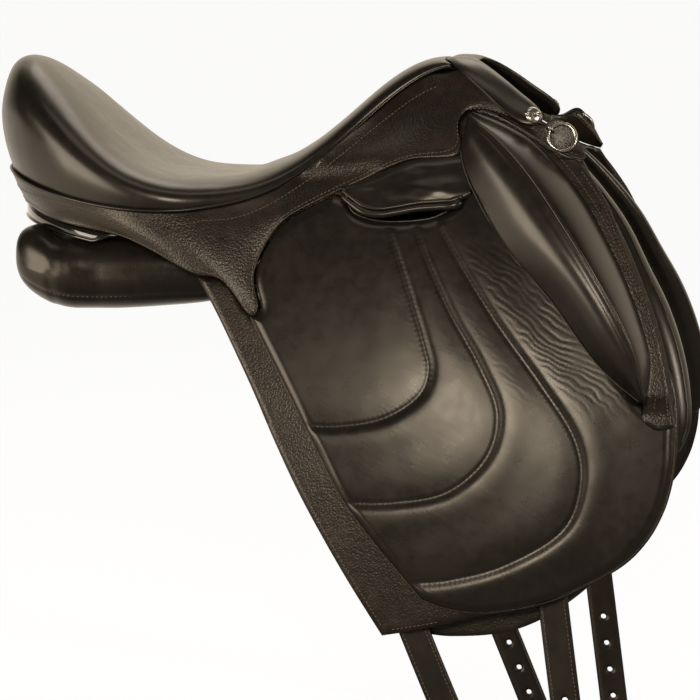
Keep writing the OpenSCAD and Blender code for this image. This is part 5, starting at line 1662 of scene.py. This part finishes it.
def place(obj, azimuth, elevation, distance):
    """Puts an object into the scene so that it faces the saddle.

    The azimuth runs round from the right side. Both angles are in degrees.
    """
    a, e = math.radians(azimuth), math.radians(elevation)
    away = Vector((math.sin(a) * math.cos(e), -math.cos(a) * math.cos(e), math.sin(e)))
    obj.location = LOOK_AT + away * distance
    obj.rotation_euler = (-away).to_track_quat("-Z", "Y").to_euler()
    bpy.context.scene.collection.objects.link(obj)


for light_name, light_azimuth, light_elevation, light_size, light_power, light_colour in LIGHTS:
    light = bpy.data.lights.new(light_name, "AREA")
    light.shape = "RECTANGLE"
    light.size, light.size_y = light_size
    light.energy = light_power
    light.color = light_colour
    place(bpy.data.objects.new(light_name, light), light_azimuth, light_elevation, LIGHT_DISTANCE)


class Surroundings(Finish):
    """The world's colour, by the direction of a ray."""

    def __init__(self, name):
        self.material = bpy.data.worlds.new(name)
        self.material.use_nodes = True
        self.tree = self.material.node_tree
        self.shader = self.tree.nodes["Background"]
        self.place = self.node("ShaderNodeTexCoord", {}, {}, "Generated")


# White behind the saddle, warm in reflections from the far side, and a dim even fill
studio = Surroundings("studio")
seen, glossy, clear = [studio.ray(kind) for kind in ("Camera", "Glossy", "Transmission")]
behind = studio.between(studio.axis("Y") * 0.9 + studio.axis("X") * 0.3, 0.15, 0.75, 0.06, 1.0)
bounced = (glossy + clear) * behind
soft_fill = 1 - seen - glossy - clear
studio.feed("Color", studio.tint(*[seen + bounced * warm + soft_fill * dim for warm, dim in (
    (1.0, 0.26), (0.87, 0.25), (0.68, 0.24))]))
bpy.context.scene.world = studio.material

# Pale floor, with a warm glow in reflections
FLOOR_Z = BILLET_END * MM - 0.004
FLOOR_SIDES = 128
ground = Finish("studio_floor", Base_Color=rgb(0.16, 0.157, 0.152), Roughness=0.9, Specular_IOR_Level=0.1,
                Emission_Strength=1.0)
pale = ground.ray("Camera") * 0.90
glow = (ground.ray("Glossy") + ground.ray("Transmission")) * ground.between(
    ground.axis("Y") * 0.4 - ground.axis("X") * 0.9, 0.10, 0.55, 0.08, 0.90)
ground.feed("Emission Color", ground.tint(*[pale + glow * warm for warm in (1.0, 0.89, 0.74)]))
turn = circle(FLOOR_SIDES)
reach = np.array([0.4, 1.2, 3, 8, 20, 50])[:, None]
floor_v, floor_f = grid(np.stack(np.broadcast_arrays(
    reach * np.cos(turn), reach * np.sin(turn), FLOOR_Z), -1), wrap=True)
floor_f.append(list(range(FLOOR_SIDES)))
floor_mesh = bpy.data.meshes.new("studio_floor")
floor_mesh.from_pydata(floor_v.tolist(), [], floor_f)
floor_mesh.materials.append(ground.material)
floor = bpy.data.objects.new("studio_floor", floor_mesh)
bpy.context.scene.collection.objects.link(floor)

camera_data = bpy.data.cameras.new("camera")
camera_data.lens, camera_data.sensor_width = 187, 36
camera = bpy.data.objects.new("camera", camera_data)
place(camera, CAMERA_AZIMUTH, CAMERA_ELEVATION, CAMERA_DISTANCE)
bpy.context.scene.camera = camera
bpy.context.scene.view_settings.view_transform = "Standard"
